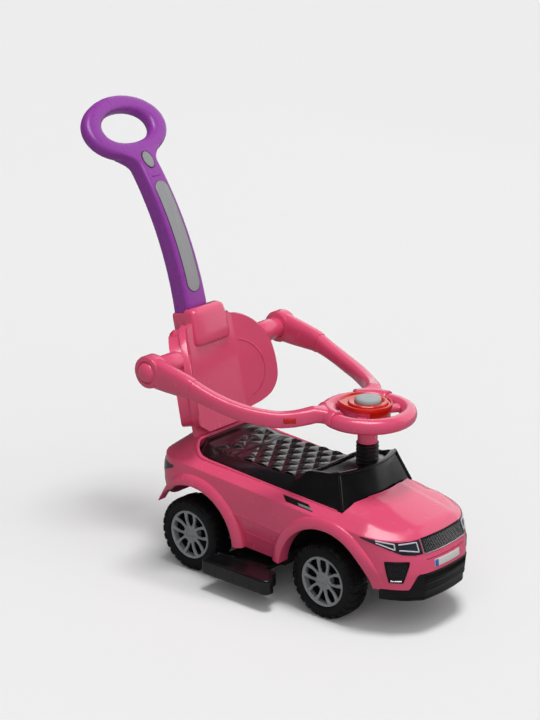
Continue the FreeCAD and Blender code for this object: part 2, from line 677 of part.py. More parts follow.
recess_floor = d.seat_top - d.lid_thick - d.side_gap
ledge_low = recess_floor - d.ledge_thick
seat_hollow = solid("seat_hollow", seat_form(0.0).cut(seat_form(float(d.seat_wall))))
frame_x = (lid_x[0] - d.side_gap - d.seat_wall, lid_x[1] + d.side_gap + d.seat_wall)
frame_half = d.lid_half + d.side_gap + d.seat_wall
well_frame = box("well_frame", frame_x, (-frame_half, frame_half), (ledge_low, d.seat_top))
recess_half = d.lid_half + d.side_gap
recess_x = (lid_x[0] - d.side_gap, lid_x[1] + d.side_gap)
recess = box("recess", recess_x, (-recess_half, recess_half), (recess_floor, d.dash_top))
hinge_x = lid_x[0] + d.hinge_barrel
hinge_z = d.seat_top - d.hinge_barrel
pin_start = (hinge_x, -frame_half, hinge_z)
pin_hole = rod("pin_hole", d.hinge_radius, 2 * frame_half, pin_start, TO_LEFT)
mouth = box("mouth", mouth_x, (-mouth_half, mouth_half), (d.bin_floor, d.dash_top))
part("seat_base", cut("seat_base", fuse("seat_blank", seat_hollow, well_frame), recess, mouth, pin_hole))

bin_block = box("bin_block", bin_x, (-bin_half, bin_half), (d.bin_floor - d.bin_wall, ledge_low))
bin_space = box("bin_space", mouth_x, (-mouth_half, mouth_half), (d.bin_floor, d.dash_top))
part("storage_bin", cut("storage_bin", bin_block, bin_space, *screws))
# Seat lid: turns on a steel pin in the barrel along its back edge.
lid_slab = box("lid_slab", lid_x, (-d.lid_half, d.lid_half), (d.seat_top - d.lid_thick, d.seat_top))
pin_bore = rod("pin_bore", d.hinge_radius + d.running_gap, 2 * frame_half, pin_start, TO_LEFT)
lid_heel = box("lid_heel", (lid_x[0], hinge_x), (-d.lid_half, d.lid_half), (recess_floor, d.seat_top))
barrel_start = (hinge_x, -d.lid_half, hinge_z)
lid_barrel = rod("lid_barrel", d.hinge_barrel - d.side_gap, 2 * d.lid_half, barrel_start, TO_LEFT)
lid_blank = fuse("lid_blank", cut("lid_no_heel", lid_slab, lid_heel), lid_barrel)
part("seat_lid", cut("seat_lid", lid_blank, pin_bore))
part("seat_hinge_pin", rod("seat_hinge_pin", d.hinge_radius, 2 * frame_half, pin_start, TO_LEFT))


def dash_form(inset):
    back = seat_front + float(d.side_gap) + inset
    front = float(front_axle + d.opening_front_ahead - d.side_gap) - inset
    bow = float(d.opening_bow)
    half = float(d.belt_half) - inset
    top_back = float(rear_axle + d.dash_top_start)
    top_front = float(rear_axle + d.dash_top_front) - inset
    top_half = float(d.dash_top_half) - inset
    top = float(d.dash_top) - inset
    lower = deck_wire(back, front, bow, half, half, rim_height)
    upper = deck_wire(back, top_front, float(d.dash_top_bow), top_half, top_half, lambda x: top)
    form = Part.makeLoft([lower, upper], True, True)
    top_line = [
        (back - wide, float(d.dash_seat_height) - inset), (back, float(d.dash_seat_height) - inset),
        (float(rear_axle + d.dash_pad_place), float(d.dash_pad_height) - inset),
        (float(rear_axle + d.dash_rim_place), float(d.dash_rim_height) - inset),
        (float(rear_axle + d.dash_rim_place) + inset, high), (back - wide, high),
    ]
    return form.cut(side_cut(top_line, wide))


dash_hollow = solid("dash_hollow", dash_form(0.0).cut(dash_form(float(d.seat_wall))))
sleeve_low = d.dash_pad_height - d.sleeve_radius
sleeve = rod("sleeve", d.sleeve_radius, d.sleeve_top - sleeve_low, (front_axle, 0, sleeve_low))
column_gap = d.column_radius + d.side_gap
sleeve_bore = rod("sleeve_bore", column_gap, d.sleeve_top - d.sleeve_floor, (front_axle, 0, d.sleeve_floor))
rod_bore = rod("rod_bore", bush_bore, d.sleeve_top - sleeve_low, (front_axle, 0, sleeve_low))
part("dash_cowl", cut("dash_cowl", fuse("dash_blank", dash_hollow, sleeve), sleeve_bore, rod_bore))


# Steering: wheel and column on a steel rod, down to the bracket that holds the front axle.
bracket_top = d.floor_height - d.side_gap
tube_start = (front_axle, -boss_half, axle_height)
bracket_tube = rod("bracket_tube", d.bracket_radius, 2 * boss_half, tube_start, TO_LEFT)
post_rise = bracket_top - axle_height
bracket_post = rod("bracket_post", d.axle_boss_radius, post_rise, (front_axle, 0, axle_height))
bracket_bore = rod("bracket_bore", d.axle_radius, 2 * boss_half, tube_start, TO_LEFT)
rod_foot = axle_height + d.axle_radius
rod_socket = rod("rod_socket", d.rod_radius, d.rod_top, (front_axle, 0, rod_foot))
bracket_blank = fuse("bracket_blank", bracket_tube, bracket_post)
part("axle_bracket", cut("axle_bracket", bracket_blank, bracket_bore, rod_socket))

screw_hole = rod("screw_hole", d.screw_radius, 4 * d.column_radius,
                 (front_axle - 2 * d.column_radius, 0, d.column_screw_height), FORWARD)
rod_bar = rod("rod_bar", d.rod_radius, d.rod_top - rod_foot, (front_axle, 0, rod_foot))
part("steering_rod", cut("steering_rod", rod_bar, screw_hole))

ring = doc.addObject("Part::Torus", "wheel_ring")
bind(ring, "Radius1", d.ring_radius)
bind(ring, "Radius2", d.ring_tube)
place(ring, front_axle, 0, d.ring_height)
hub_inner = d.hub_outer - d.hub_wall
hub_profile = [
    (d.rod_radius, d.column_foot), (d.column_radius, d.column_foot), (d.column_radius, d.hub_floor),
    (d.hub_outer, d.hub_floor), (d.hub_outer, d.hub_top), (hub_inner, d.hub_top),
    (hub_inner, d.hub_floor + d.hub_wall), (0.0, d.hub_floor + d.hub_wall), (0.0, d.rod_top),
    (d.rod_radius, d.rod_top),
]
hub = lathe("wheel_hub", hub_profile, (front_axle, 0, 0))
spokes = []
for index, angle in enumerate((d.spoke_angle.value, -d.spoke_angle.value, 180)):
    arm = [
        (d.hub_outer - d.hub_wall / 2, -d.spoke_width / 2), (d.ring_radius, -d.spoke_width / 2),
        (d.ring_radius, d.spoke_width / 2), (d.hub_outer - d.hub_wall / 2, d.spoke_width / 2),
    ]
    low = d.ring_height - d.spoke_thick / 2
    turn = Rotation(Vector(0, 0, 1), angle)
    spokes.append(plate(f"spoke_{index}", arm, d.spoke_thick, (front_axle, 0, low), turn))
door_x = (front_axle - d.hub_outer + d.hub_wall, front_axle - d.column_radius)
door_half = 2 * d.cell_radius
door_hole = box("door_hole", door_x, (-door_half, door_half), (d.hub_floor, d.hub_floor + d.hub_wall))
wheel_blank = fuse("wheel_blank", ring, hub, *spokes)
part("steering_wheel", cut("steering_wheel", wheel_blank, door_hole, screw_hole))
door_z = (d.hub_floor, d.hub_floor + d.door_thick)
part("battery_door", box("battery_door", door_x, (-door_half, door_half), door_z))

cell_x = front_axle - d.column_radius - d.side_gap / 2 - d.cell_radius
cell_z = d.hub_floor + d.door_thick + d.cell_radius
cells = []
for index in range(3):
    start_y = (index - 1.5) * d.cell_thick
    cells.append(rod(f"cell_{index}", d.cell_radius, d.cell_thick, (cell_x, start_y, cell_z), TO_LEFT))
part("battery_cells", group("battery_cells", *cells))
board_top = d.board_height + d.board_thick
board = rod("board_disc", hub_inner, d.board_thick, (front_axle, 0, d.board_height))
horn_low = d.hub_top - d.side_gap - d.horn_flange_thick
switch_top = horn_low - d.horn_travel - d.side_gap
switch = rod("switch", d.cell_radius, switch_top - board_top, (front_axle, 0, board_top))
part("sound_board", fuse("sound_board", board, switch))
speaker_x = front_axle - d.cell_radius - d.speaker_radius - d.side_gap
part("speaker", rod("speaker", d.speaker_radius, d.speaker_thick, (speaker_x, 0, board_top)))

screw_x = front_axle - d.column_radius
screw_z = d.column_screw_height
screw_shank = rod("screw_shank", d.screw_radius, 2 * d.column_radius, (screw_x, 0, screw_z), FORWARD)
screw_head = rod("screw_head", d.screw_head, d.screw_head, (screw_x - d.screw_head, 0, screw_z), FORWARD)
part("column_screw", fuse("column_screw", screw_shank, screw_head))


def panel_shape():
    """The red shield on the hub: narrow back edge, waisted sides and a round front."""
    x = float(front_axle)
    z = float(d.hub_top)
    corners = []
    for sign in (-1, 1):
        corners.append(Vector(x - float(d.panel_back), sign * float(d.panel_back_half), z))
        corners.append(Vector(x - float(d.panel_waist), sign * float(d.panel_waist_half), z))
    back_right, waist_right, back_left, waist_left = corners
    edges = [
        Part.LineSegment(back_right, back_left).toShape(),
        Part.LineSegment(back_right, waist_right).toShape(),
        Part.LineSegment(back_left, waist_left).toShape(),
        Part.Arc(waist_right, Vector(x + float(d.panel_front), 0, z), waist_left).toShape(),
    ]
    face = Part.Face(Part.Wire(Part.__sortEdges__(edges)))
    slab = face.extrude(Vector(0, 0, float(d.panel_thick)))
    top = z + float(d.panel_thick)
    boss = Part.makeCylinder(float(d.panel_boss), float(d.panel_boss_rise), Vector(x, 0, top))
    hole = Part.makeCylinder(float(d.horn_radius + d.side_gap), wide, Vector(x, 0, z))
    return slab.fuse(boss).cut(hole).removeSplitter()


part("hub_panel", solid("hub_panel", panel_shape()))
horn_top = d.hub_top + d.panel_thick + d.panel_boss_rise + d.horn_rise
horn_edge = d.horn_rise / 3
horn_profile = [
    (0.0, horn_low), (d.horn_flange, horn_low), (d.horn_flange, horn_low + d.horn_flange_thick),
    (d.horn_radius, horn_low + d.horn_flange_thick), (d.horn_radius, horn_top - horn_edge),
    (d.horn_radius - horn_edge, horn_top), (0.0, horn_top),
]
part("horn_button", lathe("horn_button", horn_profile, (front_axle, 0, 0)))


# Backrest: two hollow shells drawn in the backrest's own frame and leaned back on the rear deck.
back_lean = Rotation(Vector(0, 1, 0), -float(d.back_tilt))
back_x = float(rear_axle - d.back_foot)
back_spot = Vector(back_x, 0, level_height("deck", back_x, float(d.back_foot_rise)))
back_place = Placement(back_spot, back_lean)
wall = float(d.back_wall)
split = float(d.back_split)
head_half = float(d.head_half)
grip_half = float(d.grip_wide + 2 * d.side_gap) / 2
grip_front = float(d.side_gap + d.grip_deep / 2 - d.handle_back)
grip_back = -float(d.handle_back + d.grip_deep / 2 + d.side_gap)
head_high = float(d.back_height * d.head_high_share)
back_low = float(d.back_height * d.low_share)
pivot_height = back_spot.z + float(d.back_height * d.pivot_share)


def bucket(front, back):
    """A prism between two depths behind the seat-back surface: flat panel and two forward wings."""
    run = float(d.wing_half - d.panel_half)
    reach = float(d.wing_reach)
    lean = math.atan2(reach, run)
    beyond = 2 * run
    sides = []
    for depth in (front, back):
        knee = float(d.panel_half) + depth * math.tan(lean / 2)
        tip = Vector(-depth + beyond * math.sin(lean), knee + beyond * math.cos(lean), 0)
        sides.append((Vector(-depth, knee, 0), tip))
    (knee_front, tip_front), (knee_back, tip_back) = sides
    half = [tip_front, knee_front]
    half += [Vector(p.x, -p.y, 0) for p in (knee_front, tip_front, tip_back, knee_back)]
    half += [knee_back, tip_back]
    face = Part.Face(Part.makePolygon(half + half[:1]))
    return face.extrude(Vector(0, 0, 2 * head_high)).translated(Vector(0, 0, -head_high / 2))


def back_outline(inset):
    """The backrest's outline seen from the front, as a prism from back to front."""
    low = inset
    high = float(d.back_height) - inset
    depth = float(d.wing_half)

    def spot(y, z):
        return Vector(-depth, y, z)

    edges = []
    for sign in (-1, 1):
        foot = spot(sign * float(d.back_foot_half), low)
        low_knee = spot(sign * (float(d.back_low_half) - inset), back_low + inset)
        side_low = spot(sign * (float(d.wing_half) - inset), float(d.back_height * d.side_low_share))
        side_high = spot(sign * (float(d.wing_half) - inset), float(d.back_height * d.side_high_share))
        knee_z = float(d.back_height * d.high_share) - inset
        high_knee = spot(sign * (float(d.back_high_half) - inset), knee_z)
        top = spot(sign * float(d.back_top_half), high)
        edges += [
            Part.Arc(foot, low_knee, side_low).toShape(),
            Part.LineSegment(side_low, side_high).toShape(),
            Part.Arc(side_high, high_knee, top).toShape(),
        ]
    for z, y in ((low, float(d.back_foot_half)), (high, float(d.back_top_half))):
        edges.append(Part.LineSegment(spot(-y, z), spot(y, z)).toShape())
    face = Part.Face(Part.Wire(Part.__sortEdges__(edges)))
    return face.extrude(Vector(2 * depth, 0, 0))


def block(x_span, half, z_span):
    size = (x_span[1] - x_span[0], 2 * half, z_span[1] - z_span[0])
    return Part.makeBox(*size, Vector(x_span[0], -half, z_span[0]))


outer = back_outline(0.0)
inner = back_outline(wall)
deep = float(d.back_thick)
front_shell = bucket(0.0, split).common(outer).cut(bucket(wall, split + wall).common(inner))
head_front = float(d.head_proud)
head_low = float(d.back_height * d.head_low_share)
head = block((-split, head_front), head_half, (head_low, head_high))
front_edges = [e for e in head.Edges if e.CenterOfMass.x > 0 or e.CenterOfMass.z > head_high - wall]
head = head.makeFillet(float(d.head_round), [e for e in front_edges if e.CenterOfMass.x > -split + wall])
head_space = block((-split - wall, head_front - wall), head_half - wall, (head_low + wall, head_high - wall))
front_shell = front_shell.fuse(head).cut(head_space)

rear_shell = bucket(split, deep).common(outer).cut(bucket(split - wall, deep - wall).common(inner))
socket_wall = float(d.socket_wall)
socket_floor = float(d.back_height * d.socket_share)
housing_span = (grip_back - socket_wall, -split)
housing = block(housing_span, grip_half + socket_wall, (socket_floor - socket_wall, head_high))
channel = block((grip_back, grip_front), grip_half, (socket_floor, 2 * head_high))
plug_span = (-deep, -split)
plug = block(plug_span, float(d.plug_half), (-float(d.plug_depth), back_low))
plug_space_span = (-float(d.plug_depth) - wall, 0.0)
plug_space = block((-deep + wall, -split - wall), float(d.plug_half) - wall, plug_space_span)
rear_shell = rear_shell.fuse(housing).fuse(plug.cut(plug_space)).cut(channel)

pivot = Vector(float(rear_axle - d.pivot_place), 0, pivot_height)
boss_out = float(d.knuckle_in - d.side_gap)
boss_root = float(d.boss_root)
front_world = front_shell.copy()
rear_world = rear_shell.copy()
front_world.Placement = back_place
rear_world.Placement = back_place
seat_space = bucket(-float(d.wing_half), 0.0)
seat_space.Placement = back_place
for sign in SIDES.values():
    sideways = Vector(0, sign, 0)
    root = pivot + sideways * boss_root
    boss = Part.makeCylinder(float(d.boss_radius), boss_out - boss_root, root, sideways).cut(seat_space)
    bolt_hole = Part.makeCylinder(float(d.bolt_radius), boss_out, root, sideways)
    rear_world = rear_world.fuse(boss).cut(bolt_hole)
    notch = Part.makeCylinder(float(d.boss_radius + d.side_gap), boss_out, root, sideways)
    front_world = front_world.cut(notch)
part("backrest_front", solid("backrest_front", front_world.removeSplitter()))
part("backrest_rear", solid("backrest_rear", rear_world.removeSplitter()))

bolts = []
bolt_root = d.boss_root + d.bolt_head
bolt_seat = d.knuckle_out - d.bolt_sink
for side, sign in SIDES.items():
    profile = [
        (0.0, bolt_root), (d.bolt_radius, bolt_root), (d.bolt_radius, bolt_seat),
        (d.bolt_head, bolt_seat), (d.bolt_head, bolt_seat + d.bolt_head_thick),
        (0.0, bolt_seat + d.bolt_head_thick),
    ]
    start = (rear_axle - d.pivot_place, 0, pivot_height)
    bolts.append(lathe(f"bolt_{side}", profile, start, TO_LEFT if sign > 0 else TO_RIGHT))
part("arm_bolts", group("arm_bolts", *bolts))


# Guard arms: lofted tubes from a knuckle on the backrest to a saddle clip on the steering wheel.
ring_centre = Vector(float(front_axle), 0, float(d.ring_height))
clip_turn = math.radians(float(d.clip_angle))
radial = Vector(math.cos(clip_turn), math.sin(clip_turn), 0)
clip_spot = ring_centre + radial * float(d.ring_radius)
arm_end = clip_spot + radial * float(d.clip_stem) + Vector(0, 0, float(d.clip_rise))
knuckle_mid = float(d.knuckle_in + d.knuckle_out) / 2


def oval(centre, along, half_width, half_height):
    """An upright oval across the arm's path."""
    sideways = along.cross(Vector(0, 0, 1)).normalize()
    upright = sideways.cross(along).normalize()
    curve = Part.Ellipse(centre + upright * half_height, centre + sideways * half_width, centre)
    return Part.Wire(curve.toShape())


def arm_station(letter):
    names = [f"arm_{letter}_{what}" for what in ("place", "side", "rise")]
    x, y, rise = [float(getattr(d, name)) for name in names]
    return Vector(float(rear_axle) + x, y, ring_centre.z + rise * (pivot.z - ring_centre.z))


stations = [pivot + Vector(0, knuckle_mid, 0)]
stations += [arm_station(letter) for letter in "abcef"]
stations.append(arm_end)
half_width = float(d.arm_half_width)
half_height = float(d.arm_half_height)
heights = [float(d.arm_root_height), float(d.arm_neck_height)] + [half_height] * (len(stations) - 2)
ovals = []
for index, station in enumerate(stations):
    before = stations[max(index - 1, 0)]
    after = stations[min(index + 1, len(stations) - 1)]
    heading = radial * -1 if index == len(stations) - 1 else (after - before).normalize()
    ovals.append(oval(station, heading, half_width, heights[index]))
arm_tube = Part.makeLoft(ovals, True, False)
knuckle_in = pivot + Vector(0, float(d.knuckle_in), 0)
knuckle_thick = float(d.knuckle_out - d.knuckle_in)
sideways = Vector(0, 1, 0)
knuckle = Part.makeCylinder(float(d.knuckle_radius), knuckle_thick, knuckle_in, sideways)
bore = Part.makeCylinder(float(d.bolt_radius + d.running_gap), knuckle_thick, knuckle_in, sideways)
seat = pivot + Vector(0, float(bolt_seat - d.side_gap), 0)
head_bore = Part.makeCylinder(float(d.bolt_head + d.side_gap), knuckle_thick, seat, sideways)
latch_mid = (arm_station("e") + arm_station("f")) * 0.5
latch_along = (arm_station("f") - arm_station("e")).normalize()
latch_out = Vector(-latch_along.y, latch_along.x, 0).normalize()
latch_ray = Part.makeLine(latch_mid, latch_mid + latch_out * (2 * half_height))
latch_face = arm_tube.common(latch_ray).Length + float(d.latch_proud)


def latch_box(grow, outer_face, depth):
    """A block along the arm, sunk inwards from the given face."""
    length = float(d.latch_length) + 2 * grow
    height = float(d.latch_height) + 2 * grow
    shape = Part.makeBox(length, depth, height, Vector(-length / 2, -depth, -height / 2))
    turn = Rotation(Vector(0, 1, 0), latch_out)
    shape.Placement = Placement(latch_mid + latch_out * outer_face, turn)
    return shape


gap = float(d.side_gap)
pocket_depth = float(d.latch_deep + d.latch_travel + d.side_gap)
pocket = latch_box(gap, latch_face + half_width, pocket_depth + half_width)
arm_shape = arm_tube.fuse(knuckle).cut(bore).cut(head_bore).cut(pocket).removeSplitter()
latch_shape = latch_box(0.0, latch_face, float(d.latch_deep))


def clip_profile():
    """The saddle's section across the ring: an arch that ends at the ring's middle."""
    inner = float(d.ring_tube + d.clip_gap)
    outer = inner + float(d.clip_wall)
    middle = float(d.ring_radius)

    def spot(radius, rise):
        return Vector(middle + radius, 0, rise)

    edges = [
        Part.Arc(spot(-outer, 0), spot(0, outer), spot(outer, 0)).toShape(),
        Part.LineSegment(spot(outer, 0), spot(inner, 0)).toShape(),
        Part.Arc(spot(inner, 0), spot(0, inner), spot(-inner, 0)).toShape(),
        Part.LineSegment(spot(-inner, 0), spot(-outer, 0)).toShape(),
    ]
    return Part.Face(Part.Wire(edges))


half_angle = float(d.clip_half_angle)
saddle = clip_profile().revolve(Vector(0, 0, 0), Vector(0, 0, 1), 2 * half_angle)
saddle.Placement = Placement(ring_centre, Rotation(Vector(0, 0, 1), float(d.clip_angle) - half_angle))
stem_root = float(d.ring_tube + d.clip_gap) + float(d.clip_wall) / 2
stem_face = Part.Face(oval(arm_end, radial * -1, half_width, half_height))
stem = stem_face.extrude(radial * (stem_root - float(d.clip_stem)))
clip_shape = saddle.fuse(stem).removeSplitter()

dome_turns = [math.radians(turn) for turn in (22.5, 45, 67.5)]
cap_profile = [(0.0, 0.0), (d.cap_radius, 0.0)]
cap_profile += [(d.cap_radius * math.cos(turn), d.cap_dome * math.sin(turn)) for turn in dome_turns]
cap_profile.append((0.0, d.cap_dome))
for side, sign in SIDES.items():
    for node, shape in (("arm", arm_shape), ("arm_clip", clip_shape), ("latch_button", latch_shape)):
        own = shape.copy() if sign > 0 else shape.mirror(Vector(0, 0, 0), Vector(0, 1, 0))
        part(f"{node}_{side}", solid(f"{node}_{side}", own))
    cap_start = (rear_axle - d.pivot_place, sign * d.knuckle_out, pivot_height)
    cap = lathe(f"pivot_cap_{side}", cap_profile, cap_start, TO_LEFT if sign > 0 else TO_RIGHT)
    part(f"pivot_cap_{side}", cap)


# Push handle: a bent bar that stands in the backrest's socket, with an oval grip ring on top.
bar_x = -float(d.handle_back)
bar_foot = socket_floor + gap
bend = float(d.handle_bend)
sweep = math.radians(float(d.handle_sweep))
hinge_point = Vector(bar_x - bend, 0, head_high)


def bend_point(angle, radius):
    return hinge_point + Vector(radius * math.cos(angle), 0, radius * math.sin(angle))


def bar_section(centre, turn, wide_half, deep_half, corner):
    """A rounded rectangle across the bar."""
    skew = corner * (1 - math.sqrt(0.5))
    edges = []
    corners = ((1, 1), (-1, 1), (-1, -1), (1, -1))
    ends = []
    for sx, sy in corners:
        first = Vector(sx * deep_half, sy * (wide_half - corner), 0)
        last = Vector(sx * (deep_half - corner), sy * wide_half, 0)
        middle = Vector(sx * (deep_half - skew), sy * (wide_half - skew), 0)
        pair = (first, last) if sx * sy > 0 else (last, first)
        edges.append(Part.Arc(pair[0], middle, pair[1]).toShape())
        ends.append(pair)
    for index, pair in enumerate(ends):
        edges.append(Part.LineSegment(pair[1], ends[(index + 1) % 4][0]).toShape())
    wire = Part.Wire(Part.__sortEdges__(edges))
    wire.Placement = Placement(centre, turn)
    return wire


wide_half = float(d.grip_wide) / 2
deep_half = float(d.grip_deep) / 2
corner = float(d.grip_corner)
bar_start = Vector(bar_x, 0, bar_foot)
bend_start = Vector(bar_x, 0, head_high)
bend_end = bend_point(sweep, bend)
neck_turn = sweep - float(d.neck_length) / bend
neck_start = bend_point(neck_turn, bend)
path = Part.Wire([
    Part.LineSegment(bar_start, bend_start).toShape(),
    Part.Arc(bend_start, bend_point(neck_turn / 2, bend), neck_start).toShape(),
])
bar = path.makePipeShell([bar_section(bar_start, UP, wide_half, deep_half, corner)], True, False)

ring_turn = Rotation(Vector(0, 1, 0), -math.degrees(sweep))
along = ring_turn.multVec(Vector(0, 0, 1))
ring_long = float(d.ring_long)
ring_middle = bend_end + along * (ring_long / 2)
ring_thick = float(d.ring_thick)


def oval_face(wide_half, long_half):
    """An oval in the ring's plane, on its back face."""
    curve = Part.Ellipse(Vector(0, wide_half, 0), Vector(0, 0, long_half), Vector(0, 0, 0))
    return Part.Face(Part.Wire(curve.toShape()))


ring_half = float(d.ring_wide) / 2
ring_foot = float(d.ring_foot)
hole_half = ring_half - float(d.ring_band)
disc = oval_face(ring_half, ring_long / 2).extrude(Vector(ring_thick, 0, 0))
hole = oval_face(hole_half, ring_long / 2 - ring_foot).extrude(Vector(ring_thick, 0, 0))
grip_ring = disc.cut(hole)
round_edges = [e for e in grip_ring.Edges if not isinstance(e.Curve, Part.Line)]
grip_ring = grip_ring.makeFillet(float(d.ring_edge), round_edges)
grip_ring.Placement = Placement(ring_middle - ring_turn.multVec(Vector(ring_thick / 2, 0, 0)), ring_turn)
neck_lean = Rotation(Vector(0, 1, 0), -math.degrees(neck_turn))
neck_foot = bar_section(neck_start, neck_lean, wide_half, deep_half, corner)
neck_half = float(d.neck_wide) / 2
neck_top = bar_section(bend_end + along * (ring_foot / 2), ring_turn, neck_half, ring_thick / 2, corner)
neck = Part.makeLoft([neck_foot, neck_top], True, True)
handle_shape = bar.fuse(neck).fuse(grip_ring).removeSplitter()
handle_shape.Placement = back_place
part("push_handle", solid("push_handle", handle_shape))

# Handle label: a plain grey sticker with round ends, bent along the front of the bar.
label_radius = bend + deep_half + float(d.label_glue)
label_half = float(d.label_wide) / 2
label_out = Vector(label_radius + float(d.label_thick), 0, 0)
label_in = Vector(label_radius, 0, 0)
label_side = Vector(0, label_half, 0)
label_corners = [label_in - label_side, label_out - label_side, label_out + label_side, label_in + label_side]
label_points = [hinge_point + corner for corner in label_corners]
label_face = Part.Face(Part.makePolygon(label_points + label_points[:1]))
strip = label_face.revolve(hinge_point, Vector(0, -1, 0), float(d.handle_sweep))
label_low = bend_point(math.radians(float(d.label_start)), label_radius).z + label_half
label_high = bend_point(math.radians(float(d.label_end)), label_radius).z - label_half
ends = [Part.makeCylinder(label_half, bend, Vector(hinge_point.x + bend / 2, 0, z), Vector(1, 0, 0))
        for z in (label_low, label_high)]
middle = block((hinge_point.x + bend / 2, hinge_point.x + 2 * bend), label_half, (label_low, label_high))
label = strip.common(middle.multiFuse(ends).removeSplitter())
label.Placement = back_place
part("handle_label", solid("handle_label", label))


# Lamps, grilles and plates: inserts let into the outer face of the body shell.
trim_seat = body_form(float(d.trim_deep))
trim_layer = body_form(-float(d.trim_proud)).cut(trim_seat)
far = nose_x - tail_x


def prism(points, direction):
    """A long prism through the given points along one direction, both ways."""
    start = direction * -far
    corners = [point + start for point in points]
    return Part.Face(Part.makePolygon(corners + corners[:1])).extrude(direction * (2 * far))


def flat_points(corners, direction):
    """Points moved along a direction on to one plane across it."""
    return [corner - direction * corner.dot(direction) for corner in corners]


def nose_prism(outline):
    """A prism from the front: corners are side and height."""
    base = float(front_axle + d.nose_corner_ahead)
    face = Part.Face(Part.makePolygon([Vector(base, y, z) for y, z in outline + outline[:1]]))
    return face.extrude(Vector(far, 0, 0))


def insert(node, tool):
    """Lets a piece of trim into the shell."""
    global shell
    part(node, solid(node, trim_layer.copy().common(tool.copy()).removeSplitter()))
    shell = shell.cut(tool.copy().cut(trim_seat.copy()))


grille_half = float(d.grille_half)
grille_low = float(d.grille_low)
grille_high = float(d.grille_high)
edge = float(d.grille_edge)
grille_outer = nose_prism([(-grille_half, grille_low), (grille_half, grille_low),
                           (grille_half, grille_high), (-grille_half, grille_high)])
mesh_tool = nose_prism([(edge - grille_half, grille_low + edge), (grille_half - edge, grille_low + edge),
                        (grille_half - edge, grille_high), (edge - grille_half, grille_high)])
insert("grille_frame", grille_outer.cut(mesh_tool))
insert("grille_mesh", mesh_tool)
plate_half = float(d.plate_half)
plate_low = float(d.plate_low)
plate_high = float(d.plate_high)
insert("number_plate", nose_prism([(-plate_half, plate_low), (plate_half, plate_low),
                                   (plate_half, plate_high), (-plate_half, plate_high)]))
bumper_side = float(d.flare_side)
bumper_line = [(bumper_side, 0.0), (bumper_side, float(d.bumper_side_high)),
               (float(d.bumper_side_half), float(d.bumper_side_high)),
               (float(d.bumper_half), float(d.bumper_mid_high))]
bumper_line += [(-y, z) for y, z in reversed(bumper_line)]
bumper_tool = nose_prism(bumper_line)
front_limit = Part.makeBox(far, 2 * bumper_side, far,
                           Vector(float(front_axle + d.bumper_back_ahead), -bumper_side, 0))
insert("front_bumper", bumper_tool.common(front_limit))


def ahead(place, side, height):
    return Vector(float(front_axle + place), float(side), float(height))


corner_out = Vector(1, 1, 0).normalize()
lamp_corners = [
    ahead(d.nose_ahead - d.shoulder_nose_in, d.lamp_inner, d.lamp_high),
    ahead(d.lamp_tip_ahead, d.shoulder_half, d.lamp_tip_height),
    ahead(d.lamp_knee_ahead, d.lamp_knee_side, d.lamp_knee_height),
    ahead(d.nose_ahead - d.waist_nose_in, d.lamp_inner, d.lamp_low),
]
fog_corners = [
    ahead(d.fog_outer_ahead, d.fog_outer, d.fog_high), ahead(d.fog_inner_ahead, d.fog_inner, d.fog_high),
    ahead(d.fog_foot_ahead, d.fog_foot, d.fog_low), ahead(d.fog_heel_ahead, d.fog_heel, d.fog_low),
]
vent_x = (float(rear_axle + d.vent_start), float(rear_axle + d.vent_end))
vent_corners = [
    Vector(vent_x[0], 0, float(d.vent_high)), Vector(vent_x[1], 0, float(d.vent_tip)),
    Vector(vent_x[1] - float(d.vent_front_slant), 0, float(d.vent_low)),
    Vector(vent_x[0] + float(d.vent_back_slant), 0, float(d.vent_heel)),
]
tail_edge = tail_x - float(d.tail_corner)
tail_front = float(rear_axle - d.tail_lamp_place)
tail_z = (float(d.tail_lamp_low), float(d.tail_lamp_high))
tail_corners = [Vector(tail_front, 0, tail_z[1]), Vector(tail_x + float(d.tail_corner) / 2, 0, tail_z[0]),
                Vector(tail_edge, 0, tail_z[0]), Vector(tail_edge, 0, tail_z[1])]
outside = Part.makeBox(2 * far, far, 2 * far, Vector(-far, float(d.tail_lamp_inner), -far))
across = Vector(0, 1, 0)
trim_tools = {
    "headlight": prism(flat_points(lamp_corners, corner_out), corner_out).cut(grille_outer),
    "fog_grille": prism(flat_points(fog_corners, corner_out), corner_out),
    "side_vent": prism(vent_corners, across),
    "tail_lamp": prism(tail_corners, across),
}
for node, tool in trim_tools.items():
    left_tool = tool.common(outside)
    insert(f"{node}_left", left_tool)
    insert(f"{node}_right", left_tool.mirror(Vector(0, 0, 0), across))
plug_hole = block((-deep - gap, -split + gap), float(d.plug_half) + gap, (-2 * float(d.plug_depth), 0.0))
plug_hole.Placement = back_place
part("body_shell", solid("body_shell", shell.cut(plug_hole).removeSplitter()))

doc.recompute()
for item in doc.Objects:
    if "Invalid" in item.State or "Error" in item.State:
        raise RuntimeError(f"{item.Label} failed")
os.makedirs("parts", exist_ok=True)
for node, piece in parts.items():
    if piece.Shape.isNull() or not piece.Shape.isValid():
        raise RuntimeError(f"{node} has no valid shape")
    expected = len(piece.Links) if piece.TypeId == "Part::Compound" else 1
    if len(piece.Shape.Solids) != expected:
        raise RuntimeError(f"{node} has {len(piece.Shape.Solids)} solids")
    piece.Shape.exportStep(f"parts/{node}.step")
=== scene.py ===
"""Push car with a parent handle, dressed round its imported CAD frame. Metres; X forward, Y left, Z up."""
import math

import bmesh
import bpy
from mathutils import Matrix, Vector


